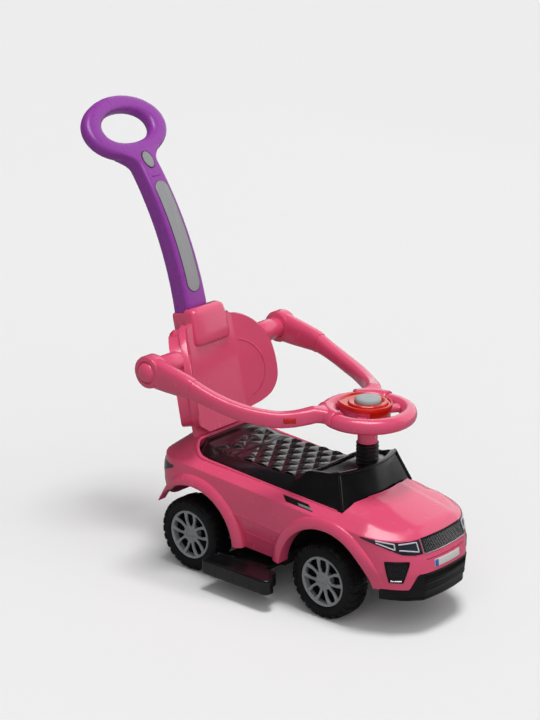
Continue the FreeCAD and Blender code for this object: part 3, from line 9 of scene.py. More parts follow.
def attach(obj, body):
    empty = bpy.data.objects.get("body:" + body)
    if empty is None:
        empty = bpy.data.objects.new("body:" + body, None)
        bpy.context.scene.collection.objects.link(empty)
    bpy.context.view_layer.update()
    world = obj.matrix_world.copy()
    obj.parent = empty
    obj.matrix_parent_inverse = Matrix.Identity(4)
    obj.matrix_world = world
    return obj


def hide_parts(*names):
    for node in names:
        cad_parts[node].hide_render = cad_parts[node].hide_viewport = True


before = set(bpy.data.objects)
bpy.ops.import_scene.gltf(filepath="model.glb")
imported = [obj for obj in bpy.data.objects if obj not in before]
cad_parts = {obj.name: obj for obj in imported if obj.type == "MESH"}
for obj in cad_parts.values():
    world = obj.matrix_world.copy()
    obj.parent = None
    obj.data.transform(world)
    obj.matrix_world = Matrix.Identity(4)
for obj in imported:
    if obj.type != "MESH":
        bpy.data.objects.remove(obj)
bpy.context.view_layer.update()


# Tyres: hollow black polyethylene, blow-moulded in one piece with the tread blocks.
# Each is pushed over the rim of its wheel cover and runs on the steel axle.
MM = 0.001
SIDES = {"left": 1, "right": -1}
DRAWN_REAR_AXLE = -0.088
axle_reach = [corner[0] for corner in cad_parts["rear_axle"].bound_box]
to_frame = Matrix.Translation(((min(axle_reach) + max(axle_reach)) / 2 - DRAWN_REAR_AXLE, 0, 0))


class Flow:
    """A value on its way through a finish: sums and products of flows add Math nodes."""

    def __init__(self, tree, socket):
        self.tree = tree
        self.socket = socket

    def node(self, kind, sockets, out=0, **settings):
        made = self.tree.nodes.new("ShaderNode" + kind)
        stops = settings.pop("stops", None)
        for name, value in settings.items():
            setattr(made, name, value)
        if stops:
            ramp = made.color_ramp
            while len(ramp.elements) < len(stops):
                ramp.elements.new(1.0)
            for element, (place, shade) in zip(ramp.elements, stops):
                element.position = place
                element.color = (*shade, 1) if isinstance(shade, tuple) else (shade, shade, shade, 1)
        for name, value in sockets.items():
            if isinstance(value, Flow):
                self.tree.links.new(value.socket, made.inputs[name])
            else:
                made.inputs[name].default_value = value
        return Flow(self.tree, made.outputs[out])

    def maths(self, operation, first, second=0.0):
        return self.node("Math", {0: first, 1: second}, operation=operation)

    def __add__(self, other):
        return self.maths("ADD", self, other)

    def __mul__(self, other):
        return self.maths("MULTIPLY", self, other)

    __radd__ = __add__
    __rmul__ = __mul__

    def noise(self, scale, detail=3.0):
        return self.node("TexNoise", {"Vector": self, "Scale": scale, "Detail": detail})

    def blend(self, share, one, other):
        """The colour at share of the way from one to the other."""
        one = (*one, 1) if isinstance(one, tuple) else one
        other = (*other, 1) if isinstance(other, tuple) else other
        return self.node("Mix", {0: share, 6: one, 7: other}, out=2, data_type="RGBA")

    def ramp(self, *stops):
        return self.node("ValToRGB", {0: self}, stops=stops)

    def into(self, name):
        shader = self.tree.nodes["Principled BSDF"]
        self.tree.links.new(self.socket, shader.inputs[name])

    def bump(self, depth, strength=1.0):
        self.node("Bump", {"Height": self, "Distance": depth, "Strength": strength}).into("Normal")


def finish(name, colour, roughness, **constants):
    """A new material with its steady values set, and its Object coordinates as a flow."""
    made = bpy.data.materials.new(name)
    made.use_nodes = True
    shader = made.node_tree.nodes["Principled BSDF"]
    shader.inputs["Base Color"].default_value = (*colour, 1)
    shader.inputs["Roughness"].default_value = roughness
    for key, value in constants.items():
        shader.inputs[key.replace("_", " ").title().replace("Ior", "IOR")].default_value = value
    place = made.node_tree.nodes.new("ShaderNodeTexCoord")
    return made, Flow(made.node_tree, place.outputs["Object"])


def moulded(name, colour, shade, roughness, grain=1.0, **constants):
    """Moulded plastic: soft tone changes, a fine grain and faint handling marks in the gloss."""
    made, place = finish(name, colour, roughness, **constants)
    tone = place.noise(7.0, 2.0).ramp((0.35, 0.0), (0.7, 1.0))
    place.blend(tone, colour, shade).into("Base Color")
    smear = place.noise(34.0, 5.0).ramp((0.45, 0.0), (0.75, 1.0))
    (smear * 0.10 + roughness).into("Roughness")
    place.noise(1400.0, 2.0).bump(0.00012 * grain, 0.35)
    return made


def mottled(name, colour, tones, gloss, scale, detail, stops, **constants):
    """A finish whose tone and gloss follow one soft mottle: gloss is its least roughness and its rise."""
    made, place = finish(name, colour, gloss[0], **constants)
    mottle = place.noise(scale, detail).ramp((stops[0], 0.0), (stops[1], 1.0))
    place.blend(mottle, *tones).into("Base Color")
    (mottle * gloss[1] + gloss[0]).into("Roughness")
    return made, place


def named(name):
    """The object that an operator has just added, under its own name."""
    made = bpy.context.object
    made.name = name
    made.data.name = name
    return made


def begun(name, add, **settings):
    """A primitive added with nothing else selected, under its own name."""
    bpy.ops.object.select_all(action="DESELECT")
    add(**settings)
    return named(name)


def work_on(piece):
    bpy.ops.object.select_all(action="DESELECT")
    piece.select_set(True)
    bpy.context.view_layer.objects.active = piece


def pick(test):
    """In edit mode, selects the faces whose middle and normal pass the test, and no others."""
    bpy.ops.mesh.select_all(action="DESELECT")
    mesh = bpy.context.edit_object.data
    form = bmesh.from_edit_mesh(mesh)
    for face in form.faces:
        face.select_set(test(face.calc_center_median(), face.normal))
    bmesh.update_edit_mesh(mesh)


def tidy_up(piece, smooth_angle=35):
    """Merges doubles, turns the faces outwards and shades the piece."""
    work_on(piece)
    bpy.ops.object.mode_set(mode="EDIT")
    bpy.ops.mesh.select_all(action="SELECT")
    bpy.ops.mesh.remove_doubles(threshold=1e-6)
    bpy.ops.mesh.normals_make_consistent(inside=False)
    bpy.ops.object.mode_set(mode="OBJECT")
    bpy.ops.object.shade_smooth_by_angle(angle=math.radians(smooth_angle))
    return piece


def apply_modifier(piece, kind, **settings):
    work_on(piece)
    bpy.ops.object.modifier_add(type=kind)
    modifier = piece.modifiers[-1]
    for key, value in settings.items():
        setattr(modifier, key, value)
    bpy.ops.object.modifier_apply(modifier=modifier.name)
    return piece


def facing(piece, toward):
    """Turns an open sheet over if its middle face looks away from a direction."""
    middle = piece.data.polygons[len(piece.data.polygons) // 2]
    if middle.normal.dot(toward) < 0:
        piece.data.flip_normals()
    return piece


def round_edges(piece, width, segments=2, angle=30):
    return apply_modifier(piece, "BEVEL", width=width, segments=segments, limit_method="ANGLE",
                          angle_limit=math.radians(angle), harden_normals=False)


def copy_of(piece, name, matrix):
    """A copy with its own mesh, moved by the matrix; a mirrored one keeps its faces outwards."""
    made = bpy.data.objects.new(name, piece.data.copy())
    made.data.name = name
    bpy.context.scene.collection.objects.link(made)
    made.data.transform(matrix)
    if matrix.determinant() < 0:
        made.data.flip_normals()
    return made


def dressed(piece, material, body, slot, *stands_for):
    """Gives a piece its finish and moves it from the drawing, by its rear axle, to its place in the frame."""
    piece.data.transform(to_frame)
    piece.data.materials.clear()
    piece.data.materials.append(material)
    for face in piece.data.polygons:
        face.material_index = 0
    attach(piece, body)
    if stands_for:
        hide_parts(*stands_for)
    return piece


def turned(name, profile, steps):
    """A closed profile of (radius, offset) points, spun once round the Y axis."""
    piece = begun(name, bpy.ops.mesh.primitive_circle_add, vertices=len(profile), fill_type="NOTHING")
    for vertex, (radius, offset) in zip(piece.data.vertices, profile):
        vertex.co = (radius * MM, offset * MM, 0)
    bpy.ops.object.mode_set(mode="EDIT")
    bpy.ops.mesh.select_all(action="SELECT")
    bpy.ops.mesh.spin(steps=steps, angle=2 * math.pi, center=(0, 0, 0), axis=(0, 1, 0))
    bpy.ops.object.mode_set(mode="OBJECT")
    return tidy_up(piece)


TREAD_BLOCKS = 26
FACES_PER_BLOCK = 6
BLOCK_RISE = 0.0021
COMB_RISE = 0.0013
COMB_HALF = 0.006
tyre_outer_wall = [(49.6, 5), (49.6, 23.4), (52, 24.7), (59, 25), (65.5, 24.4)]
tyre_crown = [(69.6, 22.6), (72.0, 19), (72.7, 13), (73.0, 6), (73.0, -6), (72.7, -13), (72.0, -19), (69.6, -22.6)]
tyre_inner_wall = [(65.5, -24.4), (56, -25), (40, -24.4), (18, -23), (6, -22.4), (6, -2), (44, -2)]
tyre_steps = TREAD_BLOCKS * FACES_PER_BLOCK
tyre = turned("tyre", tyre_outer_wall + tyre_crown + tyre_inner_wall, tyre_steps)


def tread_count(middle):
    """Which face of the tread, counted round the wheel, a face's middle lies on."""
    return int((math.atan2(middle.z, middle.x) / (2 * math.pi) % 1.0) * tyre_steps)


def block_face(middle, normal):
    radius = math.hypot(middle.x, middle.z)
    outside = radius > 0.0625 and abs(middle.y) > COMB_HALF and normal.dot(Vector((middle.x, 0, middle.z))) > 0.001
    stagger = 0 if middle.y > 0 else FACES_PER_BLOCK // 2
    return outside and (tread_count(middle) + stagger) % FACES_PER_BLOCK < 4


def comb_face(middle, normal):
    return abs(middle.y) < COMB_HALF and math.hypot(middle.x, middle.z) > 0.0725 and tread_count(middle) % 2 == 0


work_on(tyre)
bpy.ops.object.mode_set(mode="EDIT")
pick(block_face)
bpy.ops.mesh.extrude_region_shrink_fatten(TRANSFORM_OT_shrink_fatten={"value": BLOCK_RISE})
pick(comb_face)
bpy.ops.mesh.extrude_region_shrink_fatten(TRANSFORM_OT_shrink_fatten={"value": COMB_RISE})
bpy.ops.object.mode_set(mode="OBJECT")
round_edges(tyre, 0.0005, 1, 40)
tidy_up(tyre, 30)

tyre_black, place = mottled("tyre_black", (0.006, 0.006, 0.007), ((0.005, 0.005, 0.006), (0.012, 0.012, 0.013)),
                            (0.38, 0.16), 26.0, 6.0, (0.42, 0.8), specular_ior_level=0.16)
place.noise(900.0, 3.0).bump(0.0002, 0.4)

AXLES = {"front": 0.250, "rear": DRAWN_REAR_AXLE}
WHEEL_SIDE = 0.107
WHEEL_HEIGHT = 0.075
for end, axle_x in AXLES.items():
    for side, sign in SIDES.items():
        spot = Matrix.Translation((axle_x, sign * WHEEL_SIDE, WHEEL_HEIGHT)) @ Matrix.Diagonal((1, sign, 1, 1))
        own = copy_of(tyre, f"tread_tyre_{end}_{side}", spot)
        tidy_up(own, 30)
        dressed(own, tyre_black, f"wheel_{end}_{side}", "tyre_plastic", f"tyre_{end}_{side}")
bpy.data.objects.remove(tyre)


# Wheel covers: grey moulded plastic with five looped spokes and a flat hub with five nuts.
# They snap into the tyre's bead; the dark windows look through to the tyre's web.
def flat_cut(name, outlines, thickness, edge):
    """A flat plate in the XZ plane: the first outline less the others, with rounded edges."""
    piece = begun(name, bpy.ops.curve.primitive_bezier_circle_add)
    shape = piece.data
    shape.splines.clear()
    shape.dimensions = "2D"
    shape.fill_mode = "BOTH"
    shape.extrude = thickness / 2 - edge
    shape.bevel_depth = edge
    shape.bevel_resolution = 1
    shape.offset = -edge
    for outline in outlines:
        line = shape.splines.new("POLY")
        line.points.add(len(outline) - 1)
        line.use_cyclic_u = True
        for point, (x, z) in zip(line.points, outline):
            point.co = (x, z, 0, 1)
    bpy.ops.object.convert(target="MESH")
    piece.data.transform(Matrix.Rotation(math.pi / 2, 4, "X"))
    return piece


def soft_loop(corners, rounds, steps=5):
    """A closed outline of corners, each rounded by its own radius."""
    points = []
    count = len(corners)
    for index, corner in enumerate(corners):
        corner = Vector(corner)
        back = (Vector(corners[index - 1]) - corner).normalized()
        ahead = (Vector(corners[(index + 1) % count]) - corner).normalized()
        radius = rounds[index] if isinstance(rounds, (list, tuple)) else rounds
        half = back.angle(ahead) / 2
        reach = radius / math.tan(half)
        first = corner + back * reach
        last = corner + ahead * reach
        for step in range(steps + 1):
            share = step / steps
            pull = 2 * share * (1 - share)
            points.append(first * (1 - share) ** 2 + corner * pull + last * share ** 2)
    return points


def turned_outline(points, angle):
    turn = Matrix.Rotation(angle, 2)
    return [turn @ Vector(point) * MM for point in points]


SPOKES = 5
COVER_RADIUS = 49.3
loop_window = soft_loop([(17, -4), (28, -8.2), (43.3, -7.6), (43.3, 7.6), (28, 8.2), (17, 4)],
                        [3.5, 9, 4.5, 4.5, 9, 3.5])
wedge_window = soft_loop([(18.5, -1.4), (34.5, -8), (43, -13.2), (44.6, 0), (43, 13.2), (34.5, 8), (18.5, 1.4)],
                         [1.2, 10, 2.2, 40, 2.2, 10, 1.2])
pitch = 2 * math.pi / SPOKES
cover_rim = [turned_outline([(COVER_RADIUS, 0)], 2 * math.pi * step / 80)[0] for step in range(80)]
windows = [turned_outline(loop_window, math.radians(18) + pitch * index) for index in range(SPOKES)]
windows += [turned_outline(wedge_window, math.radians(54) + pitch * index) for index in range(SPOKES)]
cover = flat_cut("cover_plate", [cover_rim] + windows, 0.005, 0.0011)
hub_parts = [
    turned("cover_ring", [(44.2, -2), (45.6, 2.6), (47, 3.5), (48.6, 3.5), (49.3, 2.4), (49.3, -12), (46, -12)], 96),
    turned("cover_hub", [(0.4, 3.6), (4.6, 3.4), (5.2, 2.6), (12.6, 2.4), (13.6, 1.6), (13.8, -14), (0.4, -14)], 60),
]
for index in range(SPOKES):
    spot = turned_outline([(9.2, 0)], math.radians(18) + pitch * index)[0]
    nut = turned("cover_nut", [(0.2, 4.2), (1.6, 4.0), (2.2, 3.2), (2.3, 0), (0.2, 0)], 6)
    nut.data.transform(Matrix.Translation((spot.x, 0, spot.y)))
    hub_parts.append(nut)
work_on(cover)
for extra in hub_parts:
    extra.select_set(True)
bpy.ops.object.join()
for vertex in cover.data.vertices:
    radius = math.hypot(vertex.co.x, vertex.co.z)
    vertex.co.y -= 0.0032 * (1 - min(radius / 0.044, 1.0))
tidy_up(cover, 40)

cover_grey = moulded("cover_grey", (0.290, 0.300, 0.315), (0.250, 0.260, 0.272), 0.42)
COVER_FACE = 0.0205
for end, axle_x in AXLES.items():
    for side, sign in SIDES.items():
        spot = Matrix.Translation((axle_x, sign * (WHEEL_SIDE + COVER_FACE), WHEEL_HEIGHT))
        own = copy_of(cover, f"spoked_cover_{end}_{side}", spot @ Matrix.Diagonal((1, sign, 1, 1)))
        dressed(own, cover_grey, f"wheel_{end}_{side}", "wheel_cover", f"rim_{end}_{side}")
bpy.data.objects.remove(cover)


# Running gear: bright zinc-plated steel axles with pressed cap nuts, the steering rod and its screw,
# the lid's hinge pin, the arm bolts and the floor screws. Turned from bar, so the marks run round it.
def clad(material, *names):
    """Gives pieces that show as they are in the frame their finish."""
    for name in names:
        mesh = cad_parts[name].data
        mesh.materials.clear()
        mesh.materials.append(material)


zinc_steel, place = finish("zinc_steel", (0.56, 0.57, 0.58), 0.3, metallic=1.0)
plating = place.noise(45.0, 4.0).ramp((0.3, 0.0), (0.75, 1.0))
place.blend(plating, (0.60, 0.61, 0.62), (0.47, 0.48, 0.49)).into("Base Color")
drawn_marks = place.node("Mapping", {"Vector": place, "Scale": (900, 40, 900)}).noise(1.0, 2.0)
(drawn_marks * 0.16 + 0.24).into("Roughness")
clad(zinc_steel, "front_axle", "rear_axle", "front_axle_nuts", "rear_axle_nuts", "steering_rod", "column_screw",
     "floor_screws", "arm_bolts", "seat_hinge_pin")


# Chassis: matt black polypropylene floor with the axle tube and the footrest guides, screwed under the body.
# The front axle's bracket, the column bush and the storage bin are moulded from the same plastic.
chassis_black, place = mottled("chassis_black", (0.010, 0.010, 0.011),
                               ((0.008, 0.008, 0.009), (0.020, 0.019, 0.018)), (0.45, 0.2), 14.0, 6.0, (0.4, 0.8),
                               specular_ior_level=0.3)
place.noise(800.0, 2.0).bump(0.0001, 0.3)
clad(chassis_black, "chassis_pan", "axle_bracket", "column_bush", "storage_bin")


# Body shell: glossy pink polypropylene, injection-moulded in one piece with its wheel-arch flares.
# It stands over the chassis floor, open below and open above the seat.
def pulled_grid(name, rows):
    """A grid whose rows of vertices are pulled to the given rows of points."""
    piece = begun(name, bpy.ops.mesh.primitive_grid_add, x_subdivisions=len(rows[0]) - 1,
                  y_subdivisions=len(rows) - 1)
    spots = [spot for row in rows for spot in row]
    for vertex, spot in zip(piece.data.vertices, spots):
        vertex.co = spot
    return piece


def eased(low, high, value):
    share = min(max((value - low) / (high - low), 0.0), 1.0)
    return share * share * (3 - 2 * share)


TAIL_X = -188
NOSE_X = 444
TAIL_CORNER = 60
TURN_X = 328
BOW_HALF = 58
BOW = 5
# each level: height at the tail and at the nose, half width, set in at the tail and at the nose, edge radius
BODY_LEVELS = {
    "sill": (92, 68, 116, 10, 8, 0), "rocker": (138, 90, 124.6, 3, 2, 1.6), "fold": (168, 122, 130.4, 1, 0, 1.4),
    "waist": (196, 156, 131, 0, 3, 14), "shoulder": (226, 186, 129, 5, 18, 2), "belt": (238, 204, 105, 16, 30, 9),
    "deck": (256, 222, 80, 34, 60, 14),
}
SIDE_STATIONS = [-60 + 20 * step for step in range(19)]
CORNER_STEPS = 8
NOSE_STEPS = 12
BOW_STEPS = 6


def level_z(level, x):
    tail, nose = BODY_LEVELS[level][:2]
    return tail + (nose - tail) * (x - TAIL_X) / (NOSE_X - TAIL_X)


def bonnet_z(x, y):
    crease = 50 + 14 * (x - 297) / 120
    dome = 1.6 * eased(-5, 5, crease - abs(y))
    return 233.5 - 0.265 * (x - 297) - y * y / 840 + dome


def level_line(level):
    """One level's half outline from the middle of the tail round to the middle of the nose."""
    half, tail_in, nose_in = BODY_LEVELS[level][2:5]
    tail = TAIL_X + tail_in
    nose = NOSE_X - nose_in
    points = [(tail, share * (half - TAIL_CORNER)) for share in (0, 0.35, 0.7)]
    for step in range(CORNER_STEPS + 1):
        turn = math.pi / 2 * step / CORNER_STEPS
        points.append((tail + TAIL_CORNER * (1 - math.cos(turn)), half - TAIL_CORNER * (1 - math.sin(turn))))
    start = tail + TAIL_CORNER
    points += [(start + (TURN_X - start) * (x + 80) / (TURN_X + 80), half) for x in SIDE_STATIONS]
    run = nose - BOW - TURN_X
    depth = half - BOW_HALF
    radius = (run * run + depth * depth) / (2 * depth)
    sweep = math.asin(run / radius)
    for step in range(NOSE_STEPS + 1):
        turn = sweep * step / NOSE_STEPS
        points.append((TURN_X + radius * math.sin(turn), half - radius * (1 - math.cos(turn))))
    for step in range(1, BOW_STEPS + 1):
        y = BOW_HALF * (1 - step / BOW_STEPS)
        points.append((nose - BOW * (y / BOW_HALF) ** 2, y))
    return points


def edge_eased(points, radii, steps=4):
    """A run of points with each inner corner rounded by about its radius."""
    line = [points[0]]
    for before, corner, after, radius in zip(points, points[1:], points[2:], radii):
        back = before - corner
        ahead = after - corner
        first = corner + back * min(radius / max(back.length, 1e-6), 0.48)
        last = corner + ahead * min(radius / max(ahead.length, 1e-6), 0.48)
        for step in range(steps + 1):
            share = step / steps
            line.append(first * (1 - share) ** 2 + corner * 2 * share * (1 - share) + last * share ** 2)
    line.append(points[-1])
    return line


outlines = {level: level_line(level) for level in BODY_LEVELS}
CROWN_STEPS = 14
body_columns = []
for index in range(len(outlines["sill"])):
    ribs = []
    for level in BODY_LEVELS:
        x, y = outlines[level][index]
        z = level_z(level, x)
        if x > 240 and level in ("shoulder", "belt", "deck"):
            z = min(z, bonnet_z(x, y))
        ribs.append(Vector((x, y, z)))
    radii = [BODY_LEVELS[level][5] for level in BODY_LEVELS][1:-1]
    column = edge_eased(ribs, radii)
    last = ribs[-1]
    middle_x = last.x - 0.10 * last.y * eased(220, 330, last.x) + 0.10 * last.y * eased(-60, -150, last.x)
    for step in range(1, CROWN_STEPS + 1):
        share = step / CROWN_STEPS
        x = last.x + (middle_x - last.x) * share
        y = last.y * (1 - share)
        z = bonnet_z(x, y) if x > 240 else last.z + 2.5 * eased(0, 1, share)
        column.append(Vector((x, y, min(z, level_z("deck", x) + 3))))
    body_columns.append([spot * MM for spot in column])
across = [list(row) for row in zip(*body_columns)]
mirrored = [[Vector((spot.x, -spot.y, spot.z)) for spot in row] for row in across]
body = pulled_grid("pink_body", mirrored + across[-2::-1])
tidy_up(body, 50)
skin = copy_of(body, "body_outside", Matrix.Identity(4))


def on_skin(x, y, z, along):
    """Where a line through a spot, along a direction, first meets the outside of the body."""
    toward = Vector(along).normalized()
    hit, spot, normal, face = skin.ray_cast(Vector((x, y, z)) * MM - toward * 0.5, toward)
    return spot if hit else None


def cut_by(piece, tool):
    apply_modifier(piece, "BOOLEAN", object=tool, operation="DIFFERENCE", solver="EXACT")
    bpy.data.objects.remove(tool)
    return piece


def upright(name, outline, low, high):
    """A prism over an outline in the floor plane, in millimetres."""
    piece = begun(name, bpy.ops.mesh.primitive_circle_add, vertices=len(outline), fill_type="NGON")
    for vertex, (x, y) in zip(piece.data.vertices, outline):
        vertex.co = Vector((x, y, low(x) if callable(low) else low)) * MM
    bpy.ops.object.mode_set(mode="EDIT")
    bpy.ops.mesh.select_all(action="SELECT")
    bpy.ops.mesh.extrude_region_move(TRANSFORM_OT_translate={"value": (0, 0, high * MM)})
    bpy.ops.object.mode_set(mode="OBJECT")
    return tidy_up(piece)


BODY_WALL = 0.003
apply_modifier(body, "SOLIDIFY", thickness=BODY_WALL, offset=-1, use_even_offset=True)
ARCHES = {"front": (255.5, 74), "rear": (-76, 74)}
ARCH_RADIUS = 107
for end, (x, z) in ARCHES.items():
    hole = turned(f"arch_hole_{end}", [(0.5, -200), (ARCH_RADIUS + 9, -200), (ARCH_RADIUS + 9, 200), (0.5, 200)], 96)
    hole.data.transform(Matrix.Translation((x * MM, 0, z * MM)))
    cut_by(body, hole)
OPENING_BACK = -116
OPENING_BACK_HALF = 55
OPENING_HALF = 105
OPENING_FRONT = 277
OPENING_BOW = 20
OPENING_CORNER = OPENING_HALF - OPENING_BACK_HALF
rim_line = []
for step in range(13):
    turn = math.pi / 2 * step / 12
    rim_line.append((OPENING_BACK + OPENING_CORNER * (1 - math.cos(turn)),
                     OPENING_BACK_HALF + OPENING_CORNER * math.sin(turn)))
front_line = [(OPENING_FRONT + OPENING_BOW * (1 - (y / OPENING_HALF) ** 2), y)
              for y in (105, 92, 79, 66, 53, 40, 26, 13, 0)]
half_opening = rim_line + [(rim_line[-1][0] + 0.1, 160), (OPENING_FRONT - 0.1, 160)] + front_line
opening = half_opening + [(x, -y) for x, y in half_opening[-2::-1]]
cut_by(body, upright("seat_gap", opening, lambda x: level_z("belt", x) - 1, 90))


def lofted(name, loops, closed=False, smooth_angle=35):
    """A tube through closed loops of points in millimetres; its two ends are filled unless it closes on itself."""
    rows = [[Vector(spot) * MM for spot in list(loop) + [loop[0]]] for loop in loops]
    piece = pulled_grid(name, rows + rows[:1] if closed else rows)
    tidy_up(piece)
    if not closed:
        bpy.ops.object.mode_set(mode="EDIT")
        bpy.ops.mesh.select_all(action="DESELECT")
        bpy.ops.mesh.select_non_manifold()
        bpy.ops.mesh.fill_holes(sides=0)
        bpy.ops.object.mode_set(mode="OBJECT")
    return tidy_up(piece, smooth_angle)


def joined(piece, *others):
    work_on(piece)
    for other in others:
        other.select_set(True)
    bpy.ops.object.join()
    return piece


def corded(name, path, depth, cyclic=False):
    """A round bead along a path in millimetres; each point may carry its own radius after its place."""
    piece = begun(name, bpy.ops.curve.primitive_bezier_circle_add)
    shape = piece.data
    shape.splines.clear()
    shape.dimensions = "3D"
    shape.bevel_depth = depth * MM
    shape.bevel_resolution = 2
    shape.use_fill_caps = True
    line = shape.splines.new("POLY")
    line.points.add(len(path) - 1)
    line.use_cyclic_u = cyclic
    for point, spot in zip(line.points, path):
        point.co = (spot[0] * MM, spot[1] * MM, spot[2] * MM, 1)
        point.radius = spot[3] / depth if len(spot) > 3 else 1.0
    bpy.ops.object.convert(target="MESH")
    return tidy_up(piece, 50)


FLARE_SECTION = [
    (107.0, 112), (107.0, 136.4), (107.7, 138.2), (109.4, 139.0), (113, 139.0), (118, 138.3), (123, 136.4),
    (126.6, 133.8), (128.7, 131.6), (129.6, 128.5), (128.0, 112),
]
FLARE_TURNS = {"front": (9, 174), "rear": (6, 151)}
NOSE_FADE = (14, 52)
flares = []
for end, (x, z) in ARCHES.items():
    first, last = FLARE_TURNS[end]
    for side, sign in SIDES.items():
        loops = []
        for step in range(57):
            turn = first + (last - first) * step / 56
            along = Vector((math.cos(math.radians(turn)), math.sin(math.radians(turn))))
            fade = eased(*NOSE_FADE, turn) if end == "front" else 1.0
            taper = eased(100, last, turn) if end == "rear" else 0.0
            loop = []
            for radius, out in FLARE_SECTION:
                reach = radius - (radius - ARCH_RADIUS) * 0.84 * taper
                spot = Vector((x + reach * along.x, sign * out, z + reach * along.y))
                wall = on_skin(spot.x, 0, spot.z, (0, -sign, 0))
                flush = abs(wall.y) / MM + 0.7 if wall else out
                if out > 120:
                    lip = flush + max(out - flush, 0) * fade - (0.7 if out < 130 else 0) * (1 - fade)
                    spot.y = sign * (lip - 7 * taper)
                loop.append(spot)
            loops.append(loop)
        flares.append(lofted(f"flare_{end}_{side}", loops, smooth_angle=50))
joined(body, *flares)

bead = []
for x, y in rim_line:
    spot = on_skin(x, y, 300, (0, 0, -1))
    bead.append((x, y, min(spot.z / MM, 254) - 0.5, 4.2))
bead += [(x, OPENING_HALF, level_z("belt", x) - 0.4, 3.4 - 1.6 * eased(-60, 120, x)) for x in range(-60, 276, 12)]
bead = [(x, -y, z, r) for x, y, z, r in bead[::-1]] + bead
creases = []
for sign in SIDES.values():
    for level, first, last in (("fold", 26, 150), ("rocker", 42, 136)):
        line = [first + (last - first) * step / 20 for step in range(21)]
        spots = [(x, sign * (BODY_LEVELS[level][2] - 0.1), level_z(level, x)) for x in line]
        creases.append(corded("door_crease", spots, 1.4))
joined(body, corded("rim_bead", bead, 3.0), *creases)
tidy_up(body, 40)
apply_modifier(body, "WEIGHTED_NORMAL", keep_sharp=True)

body_pink, place = finish("body_pink", (0.75, 0.080, 0.180), 0.24, specular_ior_level=0.5, coat_weight=0.25,
                          coat_roughness=0.08)
tone = place.noise(5.0, 2.0).ramp((0.3, 0.0), (0.75, 1.0))
place.blend(tone, (0.765, 0.083, 0.188), (0.730, 0.076, 0.172)).into("Base Color")
smear = place.noise(38.0, 5.0).ramp((0.45, 0.0), (0.8, 1.0))
(smear * 0.09 + 0.22).into("Roughness")
dressed(body, body_pink, "car", "body_pink", "body_shell")


# Front bumper: matt black polypropylene with a mesh strip, two long bars and a chin, moulded in one.
# It clips over the lower edge of the nose from wheel arch to wheel arch.
def skin_spot(spot, out=0.0):
    """The nearest spot of the body's skin, or one that stands off it, in millimetres."""
    near, normal = skin.closest_point_on_mesh(Vector(spot) * MM)[1:3]
    return (near + normal * out * MM) / MM


def skin_sheet(name, lower, upper, rows):
    """A sheet of squares on the body's skin between two rows of spots, with no thickness."""
    return pulled_grid(name, [[skin_spot(low.lerp(high, step / rows)) * MM for low, high in zip(lower, upper)]
                              for step in range(rows + 1)])


def laid(name, lower, upper, proud, sunk, rows=6):
    """A sheet on the body's skin between two rows of spots, given a thickness."""
    piece = tidy_up(skin_sheet(name, lower, upper, rows), 40)
    middle = piece.data.polygons[len(piece.data.polygons) // 2].center
    facing(piece, skin.closest_point_on_mesh(middle)[2])
    thick = (proud + sunk) * MM
    return apply_modifier(piece, "SOLIDIFY", thickness=thick, offset=2 * proud * MM / thick - 1,
                          use_even_offset=True)


def on_line(corners, count):
    """Evenly spaced spots along a run of corners."""
    spots = [Vector(corner) for corner in corners]
    lengths = [0.0]
    for first, last in zip(spots, spots[1:]):
        lengths.append(lengths[-1] + (last - first).length)
    line = []
    for step in range(count):
        reach = lengths[-1] * step / (count - 1)
        index = max(i for i in range(len(spots) - 1) if lengths[i] <= reach + 1e-9)
        share = (reach - lengths[index]) / max(lengths[index + 1] - lengths[index], 1e-9)
        line.append(spots[index].lerp(spots[index + 1], share))
    return line


def latticed(piece, thickness):
    """Turns a sheet's squares into a net of diamonds."""
    work_on(piece)
    before = len(piece.data.vertices)
    bpy.ops.object.mode_set(mode="EDIT")
    bpy.ops.mesh.select_all(action="SELECT")
    bpy.ops.mesh.poke()
    form = bmesh.from_edit_mesh(piece.data)
    for face in form.faces:
        face.select_set(False)
    for edge in form.edges:
        inner = len(edge.link_faces) == 2
        edge.select_set(inner and edge.verts[0].index < before and edge.verts[1].index < before)
    bmesh.update_edit_mesh(piece.data)
    bpy.ops.mesh.dissolve_edges(use_verts=False)
    bpy.ops.object.mode_set(mode="OBJECT")
    return apply_modifier(piece, "WIREFRAME", thickness=thickness * MM, use_replace=True, use_even_offset=False)


def nose_spot(y, z, out=0.0):
    """The spot on the nose at a distance from the middle and a height, in millimetres."""
    return skin_spot((nose_x(y), y, z), out)


def nose_x(y):
    line = outlines["fold"]
    for (x1, y1), (x2, y2) in zip(line[::-1], line[-2::-1]):
        if abs(y) <= y2 + 1e-6:
            return x1 + (x2 - x1) * (abs(y) - y1) / max(y2 - y1, 1e-6)
    return line[-1][0]


def spread(half, steps):
    """Even steps from one side of the middle to the other."""
    return [half * (step / steps - 1) for step in range(2 * steps + 1)]


def bumper_top(y):
    return 90 + 32 * (1 - eased(70, 88, abs(y)))


